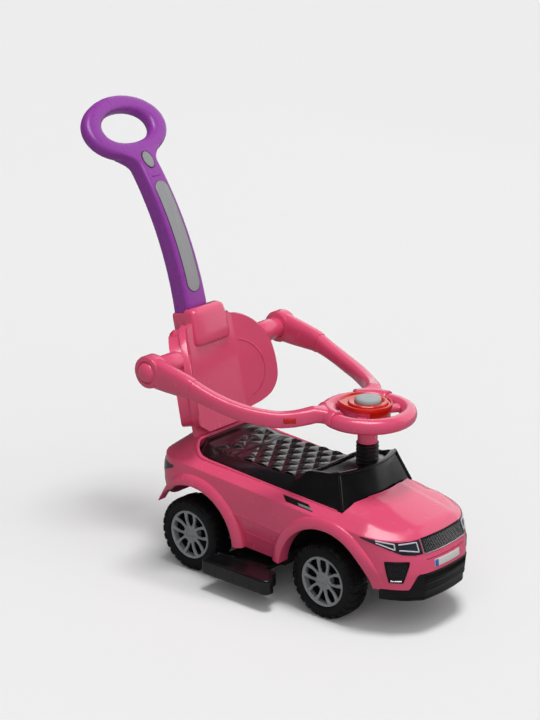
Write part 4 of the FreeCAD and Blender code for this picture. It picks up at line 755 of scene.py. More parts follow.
BUMPER_HALF = 120
across_nose = spread(BUMPER_HALF, 36)
bumper_low = [Vector((nose_x(y) - 4, y, 66)) for y in across_nose]
bumper_high = [Vector((nose_x(y) - 2, y, bumper_top(y))) for y in across_nose]
bumper = laid("nose_bumper", bumper_low, bumper_high, 1.5, 2.5, 14)
bars = []
for height, half, thick in ((104, 70, 4.6), (88, 84, 4.2), (70.2, 117, 5.0)):
    bar = [(*nose_spot(half * (step / 30 - 1), height, -1.2), thick * (1 - 0.45 * abs(step / 30 - 1) ** 4))
           for step in range(61)]
    bars.append(corded("bumper_bar", bar, thick))
mesh_low = [Vector((nose_x(y), y, 110)) for y in spread(64, 32)]
mesh_high = [Vector((nose_x(y), y, 119.5)) for y in spread(64, 32)]
mesh_strip = latticed(skin_sheet("bumper_mesh", mesh_low, mesh_high, 3), 1.1)
for vertex in mesh_strip.data.vertices:
    vertex.co.x += 0.0013
lip = [(*nose_spot(y, bumper_top(y), 0.2), 1.6) for y in across_nose]
slots = []
for sign in SIDES.values():
    slot_low = [Vector((nose_x(y), sign * y, 80)) for y in range(94, 114, 2)]
    slot_high = [Vector((nose_x(y), sign * y, 84)) for y in range(94, 114, 2)]
    slots.append(laid("bumper_slot", slot_low, slot_high, 1.9, 1.0, 1))
joined(bumper, mesh_strip, corded("bumper_lip", lip, 1.6), *bars, *slots)
tidy_up(bumper, 40)
black_plastic, place = mottled("black_plastic", (0.0060, 0.0060, 0.0068),
                               ((0.0050, 0.0050, 0.0058), (0.0090, 0.0090, 0.0098)), (0.30, 0.14), 24.0, 5.0,
                               (0.4, 0.8), specular_ior_level=0.22)
place.noise(700.0, 2.0).bump(0.00006, 0.3)
dressed(bumper, black_plastic, "car", "black_plastic", "front_bumper")


# Grille: a black net of diamonds behind the nose, with a bright strip round its sides and foot.
# Net and strip are separate mouldings that snap into the nose; under them runs a narrow groove, whose shade is painted
# as a dark red strip.
GRILLE_HALF = 59
GRILLE_LOW = 165
GRILLE_HIGH = 197
grille_y = spread(GRILLE_HALF, 22)
grille_low = [nose_spot(y, GRILLE_LOW) for y in grille_y]
grille_high = [nose_spot(y * 1.03, GRILLE_HIGH) for y in grille_y]
backing = laid("grille_backing", grille_low, grille_high, 0.2, 1.5, 6)
net = latticed(skin_sheet("grille_net", grille_low[::2], grille_high[::2], 6), 1.5)
net.data.transform(Matrix.Translation((0.0012, 0, 0.0002)))
top_edge = corded("grille_brow", [nose_spot(y * 1.03, GRILLE_HIGH + 0.4, 0.3) for y in grille_y], 1.3)
joined(backing, top_edge)
tidy_up(backing, 40)
dressed(backing, black_plastic, "car", "black_plastic", "grille_mesh")
net_black = moulded("net_black", (0.034, 0.035, 0.038), (0.026, 0.027, 0.030), 0.26)
dressed(tidy_up(net), net_black, "car", "black_plastic")

bright_path = on_line([nose_spot(-62.5, 197, 0.3), nose_spot(-61, 163.4, 0.3)], 6)
bright_path += [nose_spot(y, 163.0, 0.3) for y in spread(61, 20)[1:-1]]
bright_path += on_line([nose_spot(61, 163.4, 0.3), nose_spot(62.5, 197, 0.3)], 6)
strip = corded("bright_strip", bright_path, 1.25)
bright_trim = mottled("bright_trim", (0.62, 0.64, 0.66), ((0.66, 0.68, 0.70), (0.52, 0.54, 0.56)),
                      (0.16, 0.18), 60.0, 4.0, (0.35, 0.8), metallic=0.9)[0]
dressed(strip, bright_trim, "car", "bright_trim", "grille_frame")


def nose_band(name, reach, low, high, proud, sunk, rows):
    """A level band on the nose over a reach of distances from its middle."""
    return laid(name, [nose_spot(y, low) for y in reach], [nose_spot(y, high) for y in reach], proud, sunk, rows)


# The groove's shade is painted: a thin dark red sheet laid on the pink nose stands in for the dark inside of the
# groove.
groove = nose_band("nose_groove_shade", spread(57, 20), 149.4, 151.0, 0.25, 1.0, 1)
groove_shade_red = moulded("groove_shade_red", (0.25, 0.012, 0.035), (0.20, 0.010, 0.028), 0.4)
dressed(groove, groove_shade_red, "car", "body_pink")


# Number plate: a white plastic plate with rounded edges, glued to the nose below the groove.
# Its plain blue end is a thin film laid over the plate.
PLATE_HALF = 37.5
PLATE_LOW = 130
PLATE_HIGH = 145
plate = nose_band("plain_plate", spread(PLATE_HALF, 16), PLATE_LOW, PLATE_HIGH, 1.0, 1.0, 3)
round_edges(plate, 0.0004, 2)
plate_white = moulded("plate_white", (0.66, 0.66, 0.64), (0.60, 0.60, 0.58), 0.3)
dressed(plate, plate_white, "car", "plate_white", "number_plate")
band = nose_band("plate_end", [-PLATE_HALF + 0.6 + step for step in range(10)], PLATE_LOW + 0.7, PLATE_HIGH - 0.7,
                 1.25, 0.2, 3)
plate_blue = moulded("plate_blue", (0.035, 0.13, 0.48), (0.03, 0.11, 0.42), 0.3)
dressed(band, plate_blue, "car", "plate_white")


# Headlights: a smoked clear lens over a dark housing, with two pale light guides bent like a U.
# Each lamp is one moulding that clips in under the edge of the bonnet.
def lamp_top(x, y):
    return min(level_z("shoulder", x) + 9 * eased(350, 425, x), bonnet_z(x, y)) - 1.6


smoked_lens = mottled("smoked_lens", (0.016, 0.018, 0.026), ((0.010, 0.011, 0.016), (0.034, 0.038, 0.056)),
                      (0.05, 0.08), 30.0, 3.0, (0.35, 0.75), specular_ior_level=0.35, coat_weight=0.2,
                      coat_roughness=0.03)[0]
guide_grey = moulded("guide_grey", (0.56, 0.57, 0.61), (0.46, 0.47, 0.51), 0.18)
LAMP_TOP = [(429, 64), (424, 80), (411, 104), (388, 122), (337, 129.5)]
LAMP_FOOT = [(437, 64, 165), (433, 80, 164), (420, 100, 166), (396, 119, 176), (338, 129.5, 190)]
for side, sign in SIDES.items():
    top_line = on_line([(x, sign * y, lamp_top(x, y)) for x, y in LAMP_TOP], 33)
    foot_line = on_line([(x, sign * y, z) for x, y, z in LAMP_FOOT], 33)
    lens = laid(f"lamp_lens_{side}", foot_line, top_line, 0.9, 1.6, 10)
    tidy_up(lens, 40)
    dressed(lens, smoked_lens, "car", "lamp_lens", f"headlight_{side}")
    guides = []
    for start, end, low_share, high_share in ((2, 12, 0.16, 0.8), (14, 24, 0.18, 0.78)):
        near_low = foot_line[start].lerp(top_line[start], low_share)
        near_high = foot_line[start].lerp(top_line[start], high_share)
        far_low = foot_line[end].lerp(top_line[end], low_share + 0.12)
        far_high = foot_line[end].lerp(top_line[end], high_share)
        corners = [far_high, near_high, near_low, far_low]
        guides.append(corded("light_guide", [skin_spot(spot, 0.7) for spot in on_line(corners, 40)], 1.4))
    guide = joined(*guides)
    guide.name = f"light_guides_{side}"
    dressed(guide, guide_grey, "car", "lamp_lens")
    edge = corded(f"lamp_edge_{side}", [skin_spot(spot) for spot in foot_line], 1.3)
    dressed(edge, black_plastic, "car", "black_plastic")


# Fog grilles: black net panels in the corners of the nose, each with a bright foot strip.
# They are snapped into slanted openings beside the bumper.
FOG_TOP = [(389, 122, 149.5), (424, 90, 149)]
FOG_FOOT = [(397, 119, 108), (417, 99.6, 108)]
for side, sign in SIDES.items():
    top_line = on_line([(x, sign * y, z) for x, y, z in FOG_TOP], 15)
    foot_line = on_line([(x, sign * y, z) for x, y, z in FOG_FOOT], 15)
    panel = laid(f"fog_panel_{side}", foot_line, top_line, 0.3, 1.6, 8)
    net = latticed(skin_sheet("fog_net", foot_line, top_line, 12), 1.2)
    loop = top_line[::-1] + [foot_line[0].lerp(top_line[0], 1 - step / 8) for step in range(1, 8)]
    loop += foot_line + [foot_line[-1].lerp(top_line[-1], step / 8) for step in range(1, 8)]
    joined(panel, corded("fog_rim", [skin_spot(spot) for spot in loop], 1.7, cyclic=True))
    tidy_up(panel, 40)
    dressed(panel, black_plastic, "car", "black_plastic", f"fog_grille_{side}")
    net.name = f"fog_net_{side}"
    dressed(tidy_up(net), net_black, "car", "black_plastic")
    foot = [skin_spot(low.lerp(high, 0.07), 1.5) for low, high in zip(foot_line[2:-2], top_line[2:-2])]
    fog_strip = corded(f"fog_strip_{side}", foot, 1.9)
    dressed(fog_strip, bright_trim, "car", "bright_trim")


# Side vents: slanted black inserts with a grey lower blade, clipped into the shoulder of the body.
# Tail lamps: smoked wedges that wrap round the corners of the tail.
def shoulder_spot(x, y):
    rise = (BODY_LEVELS["shoulder"][2] - abs(y)) / (BODY_LEVELS["shoulder"][2] - BODY_LEVELS["belt"][2])
    return Vector((x, y, level_z("shoulder", x) * (1 - rise) + level_z("belt", x) * rise))


vent_grey = moulded("vent_grey", (0.20, 0.205, 0.21), (0.15, 0.155, 0.16), 0.4)
for side, sign in SIDES.items():
    low_line = [shoulder_spot(154 + 66 * step / 12, sign * 122.5) for step in range(13)]
    high_line = [shoulder_spot(139 + 62 * step / 12, sign * 112.5) for step in range(13)]
    vent = laid(f"vent_insert_{side}", low_line, high_line, 0.8, 1.5, 3)
    round_edges(vent, 0.0005, 2)
    dressed(vent, black_plastic, "car", "black_plastic", f"side_vent_{side}")
    blade_low = [spot.lerp(other, 0.12) for spot, other in zip(low_line[6:], high_line[6:])]
    blade_high = [spot.lerp(other, 0.5) for spot, other in zip(low_line[6:], high_line[6:])]
    blade = laid(f"vent_blade_{side}", blade_low, blade_high, 1.4, 0.4, 2)
    dressed(blade, vent_grey, "car", "black_plastic")
    top_line = on_line([(-130, sign * 129, 210), (-165, sign * 117, 211), (-186, sign * 78, 210)], 15)
    foot_line = on_line([(-130, sign * 130, 206), (-166, sign * 118, 189), (-188, sign * 78, 186)], 15)
    tail_lens = laid(f"tail_lens_{side}", foot_line, top_line, 0.9, 1.6, 6)
    tidy_up(tail_lens, 40)
    dressed(tail_lens, smoked_lens, "car", "lamp_lens", f"tail_lamp_{side}")
bpy.data.objects.remove(skin)


# Seat: glossy black moulding with a quilted top, set on the rim of the body's opening.
# Its smooth sides and raised back run out to the pink edge; a ledge carries the lid,
# and the quilting fades out along the hinge, so that the lid swings clear.
def seat_half(x):
    turned_in = -66 - x
    return 55 + math.sqrt(max(2500 - turned_in ** 2, 0)) if turned_in > 0 else 105


def rim_z(x):
    return level_z("belt", x) - 1


def quilt(x, y):
    """The height of one pillow of the quilting, nothing along its seams."""
    along = x / QUILT_LONG + 0.5
    aside = y / QUILT_WIDE
    waves = abs(math.sin(math.pi * (along + aside)) * math.sin(math.pi * (along - aside)))
    seam = 1 - math.exp(-((x - LID_BACK) / SEAM_FADE) ** 2)
    return QUILT_RISE * waves ** 0.62 * seam


def slab(name, low, high):
    """A block between two corners, in millimetres."""
    piece = begun(name, bpy.ops.mesh.primitive_cube_add, size=1)
    low = Vector(low)
    high = Vector(high)
    size = Matrix.Diagonal((*((high - low) * MM), 1))
    piece.data.transform(Matrix.Translation((low + high) / 2 * MM) @ size)
    return piece


def seat_top(x):
    return 240.5 + 9.5 * (1 - eased(-92, -36, x))


QUILT_LONG = 34.5
QUILT_WIDE = 52
QUILT_RISE = 4.0
SEAM_FADE = 12.5
LID_BACK = -21.7
LID_FRONT = 138.0
LID_HALF = 74.0
rows = []
for step in range(150):
    x = -115.3 + 259.0 * step / 149
    half = seat_half(x) - 0.4
    foot = rim_z(x)
    top = seat_top(x)
    side = [(half, foot - 3)]
    for inset, share in ((0, 0), (1.2, 0.13), (8, 0.40), (16, 0.66), (22, 0.85), (25, 0.94), (27, 0.985)):
        side.append((half - inset, foot + (top - foot) * share))
    flat = half - 29.5
    row = [Vector((x, y, z)) for y, z in side]
    for cross in range(91):
        y = flat * (1 - cross / 45)
        padded = eased(-74, -58, x) * (1 - eased(flat - 5, flat, abs(y)))
        row.append(Vector((x, y, top + quilt(x, y) * padded)))
    row += [Vector((x, -y, z)) for y, z in side[::-1]]
    rows.append([spot * MM for spot in row])
seat_pan = tidy_up(pulled_grid("quilted_seat", rows), 60)
if seat_pan.data.polygons[0].normal.y < 0:
    seat_pan.data.flip_normals()
SEAT_WALL = 0.0028
LID_GAP = 0.15
HINGE_GAP = 0.8
apply_modifier(seat_pan, "SOLIDIFY", thickness=SEAT_WALL, offset=-1)
gap_corner = (LID_FRONT + LID_GAP, LID_HALF + LID_GAP, 280)
cut_by(seat_pan, slab("lid_gap", (LID_BACK - HINGE_GAP, -LID_HALF - LID_GAP, 222), gap_corner))
ledge = slab("lid_ledge", (LID_BACK - 3, -LID_HALF - 3, 226.7), (LID_FRONT + 3, LID_HALF + 3, 239.5))
cut_by(ledge, slab("lid_well", (LID_BACK - LID_GAP, -LID_HALF - LID_GAP, 229.6), gap_corner))
cut_by(ledge, slab("bin_mouth", (-5.5, -67, 200), (131, 67, 280)))
joined(seat_pan, ledge)
tidy_up(seat_pan, 45)
seat_black = mottled("seat_black", (0.006, 0.006, 0.007), ((0.0055, 0.0055, 0.0062), (0.0085, 0.0085, 0.0095)),
                     (0.13, 0.10), 18.0, 5.0, (0.4, 0.8), specular_ior_level=0.42)[0]
dressed(seat_pan, seat_black, "car", "black_plastic", "seat_base")


# Seat lid: the same quilted black plastic, hinged on a steel pin along its back edge.
# It closes the storage bin and lies flush in the seat.
def lid_steps(low, high, count):
    inner = [low + 1.5 + (high - low - 3) * step / count for step in range(count + 1)]
    return [low, low + 0.15, low + 0.5] + inner + [high - 0.5, high - 0.15, high]


rows = []
for x in lid_steps(LID_BACK + 0.1, LID_FRONT - 0.1, 88):
    row = []
    for y in lid_steps(-LID_HALF + 0.1, LID_HALF - 0.1, 82):
        inside = min(x - LID_BACK, LID_FRONT - x, LID_HALF - abs(y)) - 0.1
        drop = 0.5 - math.sqrt(max(0.25 - max(0.5 - inside, 0) ** 2, 0))
        z = seat_top(x) + quilt(x, y) - drop
        row.append(Vector((x, y, z)) * MM)
    rows.append(row)
lid = facing(tidy_up(pulled_grid("quilted_lid", rows), 60), (0, 0, 1))
LID_WALL = 0.0042
apply_modifier(lid, "SOLIDIFY", thickness=LID_WALL, offset=-1)
skirt = slab("lid_skirt", (-10, -LID_HALF + 2, 230.6), (LID_FRONT - 2, LID_HALF - 2, 236))
cut_by(skirt, slab("lid_hollow", (-7, -LID_HALF + 5, 220), (LID_FRONT - 5, LID_HALF - 5, 250)))
HINGE_X = -17.2
HINGE_Z = 237.5
hinge_line = [(HINGE_X, y, HINGE_Z) for y in (-LID_HALF + 0.5, -30, 0, 30, LID_HALF - 0.5)]
barrel = corded("lid_barrel", hinge_line, 4.1)
joined(lid, skirt, barrel)
tidy_up(lid, 45)
dressed(lid, seat_black, "seat", "black_plastic", "seat_lid")


# Dashboard: glossy black moulding in front of the seat, screwed to the body's rim.
# A raised pillar frame runs round the windscreen and a tapered sleeve takes the steering column.
def dash_loop(back, front, bow, half, corner, height):
    """A loop round the dashboard: left side, bowed front, right side and back edge."""
    left = [(back + (front - corner - back) * step / 10, half) for step in range(11)]
    front_y = [(half - corner) * (1 - step / 8) for step in range(17)]
    bowed = [(front + bow * (1 - (y / half) ** 2), y) for y in front_y]
    round_left = edge_eased([Vector(left[-1]), Vector((front + 1, half)), Vector(bowed[0])], [corner], 5)[2:-2]
    round_right = [Vector((spot.x, -spot.y)) for spot in round_left[::-1]]
    right = [(x, -y) for x, y in left[::-1]]
    rear = [(back, -half * (1 - step / 6)) for step in range(1, 12)]
    ring = left + [tuple(spot) for spot in round_left] + bowed + [tuple(spot) for spot in round_right] + right + rear
    return [Vector((x, y, height(x, y))) for x, y in ring]


def cowl_top(x, y):
    return 243 + 19.5 * eased(143, 176, x) + 9 * (x - 164) / 76 * eased(150, 200, x) + 4 * eased(226, 244, x)


def pad_top(x, y):
    reach = math.hypot(x - 250, y)
    shelf = 7.0 * (1 - eased(176, 184, x)) * eased(150, 172, x)
    collar = 7 * math.exp(-max(reach - 22, 0) / 16)
    return cowl_top(x, y) - 3.0 * eased(150, 175, x) - shelf - 4 * eased(226, 244, x) + collar


DASH_BACK = 144.6
lower = dash_loop(DASH_BACK, 276.6, 20, 104.6, 14, lambda x, y: rim_z(x))
upper = dash_loop(DASH_BACK, 250, 25, 83.5, 12, cowl_top)
loops = [[spot + Vector((0, 0, -3)) for spot in lower], lower]
for share in (0.08, 0.3, 0.55, 0.8, 0.93):
    loops.append([low.lerp(high, share) + Vector((0, 0, 1.5 * math.sin(math.pi * share)))
                  for low, high in zip(lower, upper)])
middle = Vector((205, 0, 0))
for inset, dip in ((0.012, 0.6), (0.035, 1.0), (0.085, 1.0), (0.11, 0.4)):
    loops.append([Vector((*spot.lerp(Vector((*middle.xy, spot.z)), inset).xy, spot.z + dip)) for spot in upper])
for inset in (0.13, 0.16, 0.22, 0.3, 0.4, 0.5, 0.6, 0.7, 0.8, 0.9, 0.97):
    row = []
    for spot in upper:
        flat = spot.lerp(Vector((*middle.xy, spot.z)), inset)
        row.append(Vector((flat.x, flat.y, pad_top(flat.x, flat.y))))
    loops.append(row)
dash = lofted("cowl", loops, smooth_angle=50)


def upright_turned(name, profile, x, y, steps=64):
    """A closed profile of (radius, height) points, spun round an upright axis."""
    piece = turned(name, profile, steps)
    piece.data.transform(Matrix.Translation((x * MM, y * MM, 0)) @ Matrix.Rotation(math.pi / 2, 4, "X"))
    return tidy_up(piece)


COLUMN_X = 250
sleeve_wall = [(21.2 + 0.5 * math.cos(2 * math.pi * step / 8), 316.6 - 44.6 * step / 48) for step in range(49)]
sleeve = upright_turned("sleeve", [(19.6, 318), (20.8, 318)] + sleeve_wall + [(22.4, 270), (19.6, 262)], COLUMN_X, 0)
# the frame goes up one corner of the windscreen, along its top and down the other corner
CORNERS = (12, 34)
frame_path = [lower[CORNERS[0]].lerp(upper[CORNERS[0]], share) for share in (0.06, 0.3, 0.5, 0.7, 0.9)]
frame_path += upper[CORNERS[0]:CORNERS[1] + 1]
frame_path += [lower[CORNERS[1]].lerp(upper[CORNERS[1]], share) for share in (0.9, 0.7, 0.5, 0.3, 0.06)]
pillar = corded("pillar_frame", [(spot.x + 1.5, spot.y * 1.012, spot.z + 0.4, 3.0) for spot in frame_path], 3.0)
stitches = []
for start in (179.5, 184.5):
    row = []
    for step in range(169):
        y = 62 * (step / 84 - 1)
        x = start + 5 * (1 - (y / 62) ** 2)
        row.append((x, y, max(pad_top(x, y), pad_top(x + 4, y)) + 0.2, 1.7 + 0.4 * math.sin(step * math.pi / 2)))
    stitches.append(corded("stitched_ridge", row, 1.7))
joined(dash, sleeve, pillar, *stitches)
tidy_up(dash, 45)
dash_black = mottled("dash_black", (0.006, 0.006, 0.007), ((0.0055, 0.0055, 0.0062), (0.0090, 0.0090, 0.0100)),
                     (0.16, 0.12), 20.0, 5.0, (0.4, 0.8), specular_ior_level=0.34)[0]
dressed(dash, dash_black, "car", "black_plastic", "dash_cowl")


# Steering wheel: pink plastic ring, hub box and column moulded in one, screwed to the steel rod.
# The three spokes leave an open front, where the red panel hangs down over the hub.
def rounded_bar(wide, high, steps=20, power=0.55):
    """A soft rectangle's outline as (across, up) pairs."""
    pairs = []
    for step in range(steps):
        turn = 2 * math.pi * step / steps
        across = math.copysign(abs(math.cos(turn)) ** power, math.cos(turn)) * wide
        up = math.copysign(abs(math.sin(turn)) ** power, math.sin(turn)) * high
        pairs.append((across, up))
    return pairs


UP = Vector((0, 0, 1))


def heading(turn):
    """The level direction at a turn about the upright axis."""
    return Vector((math.cos(turn), math.sin(turn), 0))


def crossed(centre, aside, up, wide, high, steps=20, power=0.55):
    """A soft rectangle's loop about a centre, laid along two directions."""
    return [centre + aside * a + up * b for a, b in rounded_bar(wide, high, steps, power)]


RING_Z = 375
RING_RADIUS = 77
RING_TUBE = 14.8
ring_centre = Vector((COLUMN_X, 0, RING_Z))
loops = []
for out in [heading(2 * math.pi * step / 96) for step in range(96)]:
    loops.append(crossed(ring_centre + out * RING_RADIUS, out, UP, RING_TUBE, RING_TUBE, 28, 0.92))
wheel = lofted("wheel_ring", loops, closed=True)
# reach, half width and half height along a spoke
SPOKE_RUN = [(28, 11, 6), (44, 11, 6), (54, 11.4, 6.2), (61, 13, 7), (66, 16, 8), (72, 21, 9)]
spokes = []
for out in [heading(math.radians(angle)) for angle in (66, -66, 180)]:
    spokes.append(lofted("spoke", [crossed(ring_centre + UP * 0.5 + out * reach, UP.cross(out), UP, wide, high)
                                   for reach, wide, high in SPOKE_RUN]))
panel_edge = [(COLUMN_X + 46 * math.cos(math.radians(turn)), 46 * math.sin(math.radians(turn)))
              for turn in range(-105, 106, 7)]
back_edge = [(228, 43.0), (219, 40.2), (210, 36.2), (202, 31.0), (196.6, 24.6), (194, 17), (193.2, 8), (193, 0)]
panel_edge += back_edge + [(x, -y) for x, y in back_edge[-2::-1]]


def edge_loop(inset, height):
    """The panel's outline, drawn towards the column by a distance, at a height."""
    loop = []
    for x, y in panel_edge:
        out = Vector((x - COLUMN_X, y))
        out *= 1 - inset / out.length
        loop.append(Vector((COLUMN_X + out.x, out.y, height)))
    return loop


BOX_WALL = [(9, 368), (5.5, 368.5), (4.5, 370), (3.5, 388.4), (8.5, 388.4), (9, 372)]
box_wall = lofted("hub_box", [edge_loop(*spot) for spot in BOX_WALL], closed=True)
hub = upright_turned("hub", [
    (19, 292), (19, 341), (20.2, 347), (23, 351), (30, 352.6), (34, 354.6), (36, 359), (36, 387), (32.4, 387),
    (32.4, 356), (6.4, 356), (6.4, 292),
], COLUMN_X, 0)
door_gap = slab("door_gap", (217.5, -12, 350), (231.4, 12, 358))
cut_by(hub, door_gap)
joined(wheel, box_wall, hub, *spokes)
tidy_up(wheel, 45)
dressed(wheel, body_pink, "steering", "body_pink", "steering_wheel")


# Hub panel: glossy red plastic clipped on the hub, with a raised rim, a round boss and a front skirt.
# Horn button: grey plastic, guided in the boss and sprung on the switch of the sound board.
def boss_loop(radius, height):
    loop = []
    for x, y in panel_edge:
        out = Vector((x - COLUMN_X, y)).normalized() * radius
        loop.append(Vector((COLUMN_X + out.x, out.y, height)))
    return loop


# inset and height up the panel's rim, then radius and height over its round boss
PANEL_RIM = [(1.5, 388.6), (0.2, 389.4), (0, 391), (0.2, 395.6), (1.2, 396.9), (2.6, 396.9), (3.6, 395.6), (4.2, 394.2)]
PANEL_BOSS = [(38.6, 394.2), (38.0, 395), (37.4, 398.6), (36.2, 399.6), (27.4, 399.6), (25.9, 398.6), (25.7, 397),
              (25.7, 388.6)]
panel_loops = [edge_loop(*spot) for spot in PANEL_RIM] + [boss_loop(*spot) for spot in PANEL_BOSS]
panel = lofted("red_panel", panel_loops, closed=True)
SKIRT_SECTION = [(41, 389.2), (42.6, 389.2), (42.6, 369), (41.6, 367), (39, 367), (38.6, 369), (38.6, 389.2)]
loops = []
for out in [heading(math.radians(-47 + 94 * step / 40)) for step in range(41)]:
    loops.append([Vector((COLUMN_X, 0, z)) + out * reach for reach, z in SKIRT_SECTION])
joined(panel, lofted("panel_skirt", loops))
tidy_up(panel, 40)
signal_red = mottled("signal_red", (0.62, 0.012, 0.004), ((0.66, 0.014, 0.004), (0.55, 0.010, 0.004)),
                     (0.15, 0.10), 14.0, 3.0, (0.3, 0.75), coat_weight=0.3, coat_roughness=0.06)[0]
dressed(panel, signal_red, "steering", "signal_red", "hub_panel")

button = upright_turned("horn_pad", [
    (0.3, 406.4), (12, 406.2), (20, 405.8), (23.4, 405), (24.8, 403.2), (25, 401), (25, 387.8), (27.8, 387.8),
    (27.8, 384.8), (0.3, 384.8),
], COLUMN_X, 0)
button_grey = moulded("button_grey", (0.36, 0.38, 0.38), (0.31, 0.33, 0.33), 0.34)
dressed(button, button_grey, "horn", "button_grey", "horn_button")


# Horn works: a green sound board with a paper-cone speaker, three steel button cells and their door.
# They sit in the hub under the red panel and go in before it is clipped on.
board_green, place = finish("board_green", (0.014, 0.105, 0.038), 0.35)
tracks = place.node("Mapping", {"Vector": place, "Scale": (260, 40, 260)})
copper = tracks.noise(1.0, 1.0).ramp((0.48, 0.0), (0.54, 1.0))
place.blend(copper, (0.010, 0.085, 0.030), (0.030, 0.170, 0.070)).into("Base Color")
(copper * 0.15 + 0.28).into("Roughness")
cone_paper, place = finish("cone_paper", (0.030, 0.028, 0.026), 0.8)
fibre = place.noise(500.0, 4.0)
place.blend(fibre, (0.022, 0.021, 0.020), (0.050, 0.046, 0.042)).into("Base Color")
fibre.bump(0.0002, 0.5)
clad(board_green, "sound_board")
clad(cone_paper, "speaker")
clad(zinc_steel, "battery_cells")
clad(chassis_black, "battery_door")


# Footrests: glossy black mouldings that slide out from a guide in the chassis on a flat tongue.
# Each has a plain side wall with shallow ribs, a rounded rim and a slightly sunk tread.
STEP_BACK = -8
STEP_FRONT = 161
STEP_IN = 134
STEP_OUT = 186
STEP_CORNER = 16
STEP_TOP = 66
# height of the outline and how far it is drawn in, from the foot over the rim to the tread
STEP_WALL = [(36, 4), (36.6, 1.4), (38.4, 0.2), (40, 0), (61.6, 0), (63.8, 0.5), (65.4, 1.7), (66, 3.4), (66, 7),
             (65.4, 8), (64.6, 8.6), (64.4, 10)]


def step_loop(drawn, height):
    low, high = STEP_IN + drawn, STEP_OUT - drawn
    back, front = STEP_BACK + drawn, STEP_FRONT - drawn
    # the inner front corner is notched, which leaves the turned front tyre its room
    corners = [(back, low), (front - 20, low), (front - 14.5, high - 24.5), (front, high - 20), (front, high),
               (back, high)]
    rounds = [4, 5, 3, 3, STEP_CORNER - drawn, 10 - 0.6 * drawn]
    outline = soft_loop(corners, rounds, 8)
    return [Vector((spot.x, spot.y, height)) for spot in outline]


step = lofted("foot_step", [step_loop(drawn, height) for height, drawn in STEP_WALL], smooth_angle=45)
tongue = slab("step_tongue", (12, 50, STEP_TOP - 8), (116, STEP_IN + 3, STEP_TOP - 0.6))
round_edges(tongue, 0.001, 2)
ribs = [corded("step_rib", [(x, STEP_OUT - 0.1, z) for z in (39, 46, 54, 61)], 0.7) for x in (30, 74, 118)]
joined(step, tongue, *ribs)
tidy_up(step, 45)
step_black = mottled("step_black", (0.008, 0.008, 0.009), ((0.0065, 0.0065, 0.0075), (0.0120, 0.0120, 0.0130)),
                     (0.15, 0.18), 30.0, 6.0, (0.45, 0.8), specular_ior_level=0.5)[0]
for side, sign in SIDES.items():
    own = copy_of(step, f"foot_step_{side}", Matrix.Diagonal((1, sign, 1, 1)))
    dressed(own, step_black, f"step_{side}", "black_plastic", f"footrest_{side}")
bpy.data.objects.remove(step)


# Backrest: two pink shells snapped together round the handle's socket, plugged into the rear deck.
# The front one has a flat panel, two forward wings and a padded-looking headrest.
BACK_TILT = math.radians(11.5)
BACK_FOOT = Vector((-108, 0, 261.996))
back_frame = Matrix.Translation(BACK_FOOT) @ Matrix.Rotation(-BACK_TILT, 4, "Y")
# the rise and the half width of the seat back's outline
BACK_SIDE = [(0, 46), (9, 58), (19, 73), (28, 91), (41, 106.5), (61, 116.3), (84, 120.4), (116, 120.2), (150, 116.2),
             (177, 106.6), (198, 93), (211, 76.5), (218, 54), (219.6, 44)]


def through(stations, steps):
    """Smooth steps along a run of stations, each a list of numbers."""
    line = []
    for index in range(len(stations) - 1):
        before = stations[max(index - 1, 0)]
        first = stations[index]
        last = stations[index + 1]
        after = stations[min(index + 2, len(stations) - 1)]
        for step in range(steps):
            t = step / steps
            line.append([0.5 * (2 * b + (c - a) * t + (2 * a - 5 * b + 4 * c - d) * t * t
                                + (3 * b - a - 3 * c + d) * t ** 3)
                         for a, b, c, d in zip(before, first, last, after)])
    return line + [list(stations[-1])]


def wing(y):
    """How far the seat-back surface comes forward at a distance from the middle."""
    beyond = max(abs(y) - 66, 0)
    return 50 * (beyond / 55) ** 1.18


across = [math.copysign(abs(step / 32 - 1) ** 0.8, step - 32) for step in range(65)]
rows = [[(back_frame @ Vector((wing(share * half), share * half, rise))) * MM for share in across]
        for rise, half in through(BACK_SIDE, 5)]
front = facing(tidy_up(pulled_grid("seat_back", rows), 50), (1, 0, 0))
rear_rows = [[(back_frame @ Vector((wing(share * half * 0.985) - 1, share * half * 0.985, 3 + rise * 0.945))) * MM
              for share in across] for rise, half in through(BACK_SIDE, 5)]
rear = facing(tidy_up(pulled_grid("back_cover", rear_rows), 50), (1, 0, 0))
FRONT_WALL = 0.0125
apply_modifier(front, "SOLIDIFY", thickness=FRONT_WALL, offset=-1, use_even_offset=True)
round_edges(front, 0.0045, 4, 60)


def in_back(piece):
    piece.data.transform(Matrix.Translation(BACK_FOOT * MM) @ Matrix.Rotation(-BACK_TILT, 4, "Y"))
    return piece


# the headrest's height, half width, front and how far its edge is drawn in
HEAD_RISE = [(172, 50.0, 5.5, 7), (173, 50.4, 6.2, 3), (175.4, 50.6, 6.8, 1), (180, 50.4, 7, 0), (196, 49.6, 7, 0),
             (212, 48.6, 6.6, 0), (228, 47.4, 5.6, 0), (236, 46.6, 4.6, 0), (241, 46, 3.6, 1), (244.4, 45.4, 2.4, 3.4),
             (245.8, 45, 1.4, 7)]
HEAD_BACK = -24
head_loops = []
for rise, half, forward, drawn in HEAD_RISE:
    half -= drawn
    ahead, behind = forward - drawn, HEAD_BACK + drawn
    corners = [(ahead, half), (behind, half), (behind, -half), (ahead, -half)]
    loop = []
    for spot in soft_loop(corners, [11, 5, 5, 11], 6):
        crown = 2.6 * (1 - (spot.y / half) ** 2) * eased(-10, 0, spot.x)
        loop.append(Vector((spot.x + crown, spot.y, rise - 3 * (1 - (spot.y / 50) ** 2) * eased(196, 176, rise))))
    head_loops.append(loop)
head = tidy_up(in_back(lofted("headrest", head_loops, smooth_angle=60)), 60)
beads = []
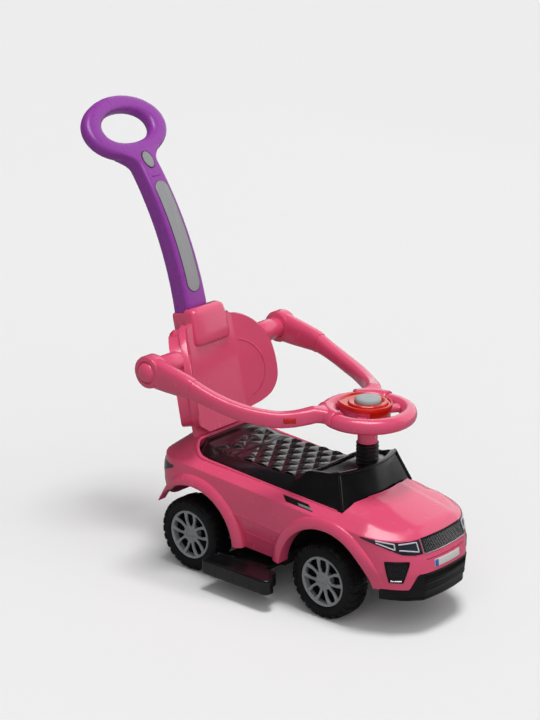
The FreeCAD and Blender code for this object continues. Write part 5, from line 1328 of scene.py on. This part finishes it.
for sign in SIDES.values():
    arc = [math.radians(-65 + 145 * step / 40) for step in range(41)]
    spots = [(62 + 42 * math.cos(turn), 100 + 62 * math.sin(turn)) for turn in arc]
    beads.append(in_back(corded("wing_bead", [(wing(y) + 0.3, sign * y, rise) for y, rise in spots], 1.1)))
joined(front, head, *beads)
tidy_up(front, 50)
dressed(front, body_pink, "car", "body_pink", "backrest_front")

REAR_DEPTH = 0.034
apply_modifier(rear, "SOLIDIFY", thickness=REAR_DEPTH, offset=-1, use_even_offset=True)
round_edges(rear, 0.008, 5, 60)


SOCKET_X = -45
# set forward, half width, half depth and height of the socket's wall, up the outside and down the bore
SOCKET_WALL = [(1, 20, 12, 88), (1, 32, 21, 90), (0, 35.4, 25.4, 98), (0, 36, 26, 230), (0, 35, 25, 234.6),
               (0, 33.6, 23.6, 235.6), (0, 31, 22.4, 235.6), (0, 29.8, 21.6, 234.4), (0, 29.8, 21.6, 97)]
socket = lofted("handle_socket", [
    crossed(Vector((SOCKET_X + forward, 0, rise)), Vector((1, 0, 0)), Vector((0, 1, 0)), deep, wide, 32, 0.42)
    for forward, wide, deep, rise in SOCKET_WALL
])
plug = slab("deck_plug", (-26, -70, -30), (-14, 70, 24))
round_edges(plug, 0.002, 2)
ARM_PIVOT = Vector((-127, 0, 420.99))
to_pivot = Matrix.Translation(ARM_PIVOT * MM)
bosses = []
for sign in SIDES.values():
    boss = turned("arm_boss", [
        (4.2, 106), (13, 106), (17.6, 111), (20.4, 115), (22, 121), (22, 171), (21, 172.6), (4.2, 172.6),
    ], 64)
    boss.data.transform(to_pivot @ Matrix.Diagonal((1, sign, 1, 1)))
    bosses.append(tidy_up(boss))
joined(rear, in_back(socket), in_back(plug), *bosses)
tidy_up(rear, 45)
dressed(rear, body_pink, "car", "body_pink", "backrest_rear")


# Guard arms: hollow pink tubes, blow-moulded, with a flat knuckle that turns on the backrest's boss.
# Each ends in a saddle clip that sits over the steering ring, held by a red spring button.
CLIP_TURN = math.radians(123)
clip_out = heading(CLIP_TURN)
clip_spot = ring_centre + clip_out * RING_RADIUS
arm_end = clip_spot + clip_out * 28 + UP * 7
# place, half width and half height of the arm's oval along its run
ARM_RUN = [
    (-127, 188.5, 420.99, 15.0, 30.5), (-90, 188.3, 416.0, 14.9, 27.5), (-60, 188, 412.6, 14.6, 24.5),
    (-33, 187, 409.0, 14.2, 21.5), (0, 183, 400.6, 14.2, 17.8), (32, 178, 392.0, 14.2, 16.6),
    (62, 171, 384.6, 14.2, 16.5), (92, 162, 379.1, 14.2, 16.5), (120, 149, 375.2, 14.2, 16.5),
    (144, 135, 373.2, 14.2, 16.5), (163, 119.5, 374.4, 14.4, 16.4), (178, 106, 377.6, 15.2, 16.4),
    (*arm_end, 16.5, 16.4),
]
SEAM_REACH = -24
arm_loops = []
run = through(ARM_RUN, 6)
for index, (x, y, z, wide, high) in enumerate(run):
    before = Vector(run[max(index - 1, 0)][:3])
    after = Vector(run[min(index + 1, len(run) - 1)][:3])
    along = (after - before).normalized() if index < len(run) - 1 else -clip_out
    aside = along.cross(UP).normalized()
    up = aside.cross(along).normalized()
    steps_in = [0.0] if x < SEAM_REACH else [1.1]
    if before.x < SEAM_REACH <= x:
        steps_in = [0.0, 1.1]
    for nudge, step_in in enumerate(steps_in):
        centre = Vector((x, y, z)) + along * 0.3 * nudge
        arm_loops.append(crossed(centre, aside, up, wide - step_in, high - step_in, 36, 0.66))
arm = lofted("guard_tube", arm_loops, smooth_angle=40)
knuckle = turned("knuckle", [
    (4.5, 173.4), (27, 173.4), (30.6, 174.6), (32, 178), (32, 199), (30.8, 202.6), (27.6, 204), (22.6, 204),
    (21.8, 203.2), (21.2, 202), (19.6, 201.6), (8.2, 201.6), (8.2, 194.8), (4.5, 194.8),
], 72)
knuckle.data.transform(to_pivot)
latch_along = Vector((34, -29, 0)).normalized()
latch_out = Vector((-latch_along.y, latch_along.x, 0))
latch_spot = Vector((161, 120.5, 375))
latch_turn = Matrix((latch_along, latch_out, (0, 0, 1))).transposed().to_4x4()
head_hole = turned("bolt_hole", [(0.4, 150), (8.2, 150), (8.2, 230), (0.4, 230)], 32)
head_hole.data.transform(to_pivot)
cut_by(arm, tidy_up(head_hole))
pocket = slab("latch_pocket", (-11.5, 3.0, -5), (11.5, 30, 5))
pocket.data.transform(Matrix.Translation(latch_spot * MM) @ latch_turn)
cut_by(arm, tidy_up(pocket))
joined(arm, tidy_up(knuckle))
tidy_up(arm, 40)

CLIP_BORE = 15.4
CLIP_OUTSIDE = 19.0
saddle_loops = []
for step in range(33):
    out = heading(CLIP_TURN + math.radians(-24 + 48 * step / 32))
    centre = ring_centre + out * RING_RADIUS
    swell = 1.0 if 0 < step < 32 else 0.0
    leans = [math.radians(-8 + 196 * arc / 24) for arc in range(25)]
    rim = []
    for reach, arcs in ((CLIP_OUTSIDE + swell, leans), (CLIP_BORE, leans[::-1])):
        rim += [centre + (out * math.cos(lean) + UP * math.sin(lean)) * reach for lean in arcs]
    saddle_loops.append(rim)
saddle = lofted("saddle", saddle_loops, smooth_angle=40)
# reach from the ring, rise, half width and half height of the stem that spreads into the saddle
STEM_RUN = [
    (28.4, 7, 15.4, 15.3), (25, 6.8, 15.8, 15.3), (21, 6.4, 17.2, 15.2), (17, 5.9, 19.6, 15.1), (13, 5.3, 22.8, 15.1),
    (9, 4.8, 26.4, 15.1), (5, 4.4, 29.6, 15.2), (1, 4.0, 31.8, 15.2), (-3, 3.4, 32.8, 14.8),
]
stem = lofted("clip_stem", [
    crossed(clip_spot + clip_out * reach + UP * rise, UP.cross(clip_out), UP, wide, high, 36, 0.72)
    for reach, rise, wide, high in STEM_RUN
], smooth_angle=40)
ring_room = turned("ring_room", [(RING_RADIUS + CLIP_BORE * math.cos(a), CLIP_BORE * math.sin(a))
                                 for a in [2 * math.pi * step / 32 for step in range(32)]], 160)
ring_room.data.transform(Matrix.Translation((COLUMN_X * MM, 0, RING_Z * MM)) @ Matrix.Rotation(math.pi / 2, 4, "X"))
cut_by(stem, tidy_up(ring_room))
joined(saddle, stem)
tidy_up(saddle, 40)

latch = slab("latch_key", (-10.8, -2.0, -4.4), (10.8, 14.8, 4.4))
ribs = [slab("latch_rib", (-9.6 + 4.2 * step, 14, -4.0), (-7.2 + 4.2 * step, 17.4, 4.0)) for step in range(5)]
joined(latch, *ribs)
round_edges(latch, 0.0006, 2, 30)
latch.data.transform(Matrix.Translation(latch_spot * MM) @ latch_turn)
tidy_up(latch, 35)

cap = turned("pivot_dome", [
    (0.3, 213.4), (5.4, 213), (10.6, 211.6), (15, 209.2), (18.2, 206), (20, 202.8), (20.6, 199.6), (0.3, 199.6),
], 64)
cap.data.transform(to_pivot)
# each pattern with its pieces' name, finish, body, slot and the node it stands for
ARM_PIECES = [
    (arm, "guard_arm", body_pink, "guard", "body_pink", "arm"),
    (saddle, "ring_clip", body_pink, "guard", "body_pink", "arm_clip"),
    (latch, "latch_key", signal_red, "latch", "signal_red", "latch_button"),
    (cap, "pivot_dome", body_pink, "guard", "body_pink", "pivot_cap"),
]
for side, sign in SIDES.items():
    for pattern, name, material, carrier, slot, node in ARM_PIECES:
        own = copy_of(pattern, f"{name}_{side}", Matrix.Diagonal((1, sign, 1, 1)))
        dressed(own, material, f"{carrier}_{side}", slot, f"{node}_{side}")
for pattern in (arm, saddle, latch, cap):
    bpy.data.objects.remove(pattern)


# Push handle: purple blow-moulded bar that slides in the backrest's socket, bent back to an oval ring.
# A small rib crosses its front below the ring.
HEAD_HIGH = 237.6
BEND = 670
SWEEP = math.radians(27)
hinge = Vector((SOCKET_X - BEND, 0, HEAD_HIGH))


def bent(turn, radius, aside=0.0):
    return hinge + Vector((radius * math.cos(turn), aside, radius * math.sin(turn)))


def bar_half(turn):
    """The tapered bar's half width and half depth at a turn of its bend."""
    share = max(turn, 0) / SWEEP
    return 29 - 3.6 * share, 21 - 2.6 * share


def bar_at(turn, wide, deep):
    """The bar's rectangle with rounded corners at a turn of its bend."""
    corners = [(deep, wide), (-deep, wide), (-deep, -wide), (deep, -wide)]
    return [bent(turn, BEND + spot.x, spot.y) for spot in soft_loop(corners, 8, 5)]


bar_loops = [[spot + Vector((0, 0, rise - HEAD_HIGH)) for spot in bar_at(0, *bar_half(0))]
             for rise in [96.8 + 140 * step / 8 for step in range(9)]]
for step in range(1, 27):
    turn = SWEEP * 0.94 * step / 26
    bar_loops.append(bar_at(turn, *bar_half(turn)))
# share of the bend, half width and half depth where the bar spreads into the ring
NECK_RUN = [(0.955, 26.2, 18.4), (0.972, 28.6, 18.1), (0.989, 33, 17.6), (1.005, 39, 16.9), (1.021, 46, 16.2),
            (1.036, 53, 15.4), (1.050, 58, 14.6)]
for share, wide, deep in NECK_RUN:
    bar_loops.append(bar_at(SWEEP * share, wide, deep))
handle = lofted("handle_bar", bar_loops, smooth_angle=40)

RING_HALF = 106.5
RING_LONG = 69.5
HOLE_HALF = 64
HOLE_LONG = 35.5
RING_THICK = 15
ring_up = Vector((-math.sin(SWEEP), 0, math.cos(SWEEP)))
ring_out = Vector((math.cos(SWEEP), 0, math.sin(SWEEP)))
ring_middle = bent(SWEEP, BEND) + ring_up * RING_LONG
loops = []
for step in range(112):
    turn = 2 * math.pi * step / 112
    low_flat = abs(math.sin(turn)) ** 0.82 if turn > math.pi else math.sin(turn)
    outer = Vector((RING_HALF * math.cos(turn), RING_LONG * math.sin(turn)))
    inner = Vector((HOLE_HALF * math.cos(turn), HOLE_LONG * math.copysign(low_flat, math.sin(turn))))
    centre = (outer + inner) / 2
    half = (outer - inner) / 2
    loop = []
    for across_tube, thick in rounded_bar(1.0, RING_THICK, 36, 0.66):
        flat = centre + half * across_tube
        loop.append(ring_middle + Vector((0, flat.x, 0)) + ring_up * flat.y + ring_out * thick)
    loops.append(loop)
grip = lofted("grip_ring", loops, closed=True)


def on_front(turn, aside, out):
    return bent(turn, BEND + bar_half(turn)[1] + out, aside)


def front_oval(turn, long_half, wide_half, out, steps=48):
    """An oval on the bar's front face."""
    return [on_front(turn + long_half * math.sin(2 * math.pi * step / steps) / BEND,
                     wide_half * math.cos(2 * math.pi * step / steps), out) for step in range(steps)]


rib = corded("handle_rib", [on_front(math.radians(23.0), 10.5 * (step / 8 - 1), 0.3) for step in range(17)], 1.3)
joined(handle, grip, rib)
in_back(handle)
tidy_up(handle, 45)
handle_purple, place = finish("handle_purple", (0.290, 0.045, 0.360), 0.30, specular_ior_level=0.36)
tone = place.noise(6.0, 2.0).ramp((0.3, 0.0), (0.75, 1.0))
place.blend(tone, (0.300, 0.047, 0.370), (0.270, 0.041, 0.336)).into("Base Color")
smear = place.noise(40.0, 5.0).ramp((0.45, 0.0), (0.8, 1.0))
(smear * 0.10 + 0.27).into("Roughness")
dressed(handle, handle_purple, "handle", "handle_purple", "push_handle")


# Label and badge: brushed grey foil with a dark edge, glued to the front of the bar.
# Both are plain; the badge is a low oval just below the ring.
label_grey, place = finish("label_grey", (0.30, 0.30, 0.31), 0.36, metallic=0.15)
brush_lines = place.node("Mapping", {"Vector": place, "Scale": (30, 900, 30)})
brushed = brush_lines.noise(1.0, 3.0).ramp((0.3, 0.0), (0.7, 1.0))
place.blend(brushed, (0.31, 0.31, 0.32), (0.26, 0.26, 0.27)).into("Base Color")
(brushed * 0.12 + 0.30).into("Roughness")
label_dark = moulded("label_dark", (0.030, 0.020, 0.036), (0.022, 0.015, 0.027), 0.4)
BADGE_TURN = math.radians(26.0)
badge = lofted("bare_badge", [front_oval(BADGE_TURN, 17.6, 12.6, -3), front_oval(BADGE_TURN, 17.6, 12.6, 0.5),
                              front_oval(BADGE_TURN, 16.8, 11.8, 1.0), front_oval(BADGE_TURN, 9, 6, 1.2)])
dressed(tidy_up(in_back(badge), 45), label_grey, "handle", "label_grey")
badge_edge = corded("badge_edge", front_oval(BADGE_TURN, 17.8, 12.8, 0.3), 1.2, cyclic=True)
dressed(tidy_up(in_back(badge_edge), 50), label_dark, "handle", "label_grey")

LABEL_TURNS = (math.radians(3.0), math.radians(22.0))
LABEL_HALF = 17.5
label_rows = []
for step in range(61):
    turn = LABEL_TURNS[0] + (LABEL_TURNS[1] - LABEL_TURNS[0]) * (0.5 - 0.5 * math.cos(math.pi * step / 60))
    from_end = min(turn - LABEL_TURNS[0], LABEL_TURNS[1] - turn) * BEND
    half = math.sqrt(max(LABEL_HALF ** 2 - max(LABEL_HALF - from_end, 0) ** 2, 0.04))
    label_rows.append([on_front(turn, half * (across_step / 8 - 1), 0.15) * MM for across_step in range(17)])
label = facing(in_back(tidy_up(pulled_grid("plain_label", label_rows), 60)), (1, 0, 0))
apply_modifier(label, "SOLIDIFY", thickness=0.0008, offset=1)
dressed(label, label_grey, "handle", "label_grey", "handle_label")
outline = [row[0] / MM for row in label_rows] + [row[-1] / MM for row in label_rows[::-1]]
label_edge = corded("label_edge", outline, 0.9, cyclic=True)
dressed(tidy_up(in_back(label_edge), 50), label_dark, "handle", "label_grey")


# Studio: a pale seamless floor, soft suns from above and ahead, and two softboxes for the highlights.
# The floor shows its pale grey to the camera and throws less light back up at the car.
floor_tone = 0.86
floor = begun("studio_floor", bpy.ops.mesh.primitive_plane_add, size=60)
floor_paper, place = finish("floor_paper", (floor_tone,) * 3, 0.9, specular_ior_level=0.05)
seen = place.node("LightPath", {}, out="Is Camera Ray")
place.blend(seen, (0.36, 0.36, 0.36), (floor_tone,) * 3).into("Base Color")
floor.data.materials.append(floor_paper)



def looking(toward):
    """The turn of a lamp or camera that looks in a direction."""
    return Vector(toward).to_track_quat("-Z", "Y").to_euler()


# heading, energy and width in degrees of each sun; they light the surfaces and stay out of the gloss
SUNS = {"overhead_sun": ((-0.10, 0.02, -1.0), 1.75, 16), "front_sun": ((-1.0, 0.46, -0.50), 1.90, 110)}
for name, (toward, energy, width) in SUNS.items():
    bpy.ops.object.light_add(type="SUN", rotation=looking(toward))
    sun = named(name)
    sun.data.energy = energy
    sun.data.angle = math.radians(width)
    sun.visible_glossy = False

# place, direction, width, height and energy of each softbox; they show in the gloss alone
SOFTBOXES = {"overhead_softbox": ((0.5, -0.3, 2.4), (0, 0, -1), 1.6, 1.0, 36),
             "side_softbox": ((0.6, 3.2, 2.2), (0, -1, -0.1), 7.0, 4.0, 105)}
for name, (spot, toward, wide, high, energy) in SOFTBOXES.items():
    bpy.ops.object.light_add(type="AREA", location=spot, rotation=looking(toward))
    softbox = named(name)
    softbox.data.shape = "RECTANGLE"
    softbox.data.size = wide
    softbox.data.size_y = high
    softbox.data.energy = energy
    softbox.visible_diffuse = False
    softbox.visible_camera = False

world = bpy.data.worlds.new("studio_air")
bpy.context.scene.world = world
world.use_nodes = True
air = world.node_tree.nodes["Background"]
air.inputs["Strength"].default_value = 0.16
mirrored_ray = Flow(world.node_tree, world.node_tree.nodes.new("ShaderNodeLightPath").outputs["Is Glossy Ray"])
air_tone = mirrored_ray.blend(mirrored_ray, (1.0, 1.0, 1.0), (0.45, 0.45, 0.45))
world.node_tree.links.new(air_tone.socket, air.inputs["Color"])

CAMERA_AZIMUTH = math.radians(41.02)
CAMERA_ELEVATION = math.radians(18.68)
CAMERA_DISTANCE = 4.1565
camera_target = to_frame @ Vector((0.0079, 0, 0.425))
level = math.cos(CAMERA_ELEVATION)
away = Vector((math.sin(CAMERA_AZIMUTH) * level, -math.cos(CAMERA_AZIMUTH) * level, math.sin(CAMERA_ELEVATION)))
bpy.ops.object.camera_add(location=camera_target + away * CAMERA_DISTANCE, rotation=looking(-away))
camera = named("photo_camera")
camera.data.sensor_width = 36
camera.data.lens = 107.85
bpy.context.scene.camera = camera
bpy.context.scene.view_settings.view_transform = "Standard"
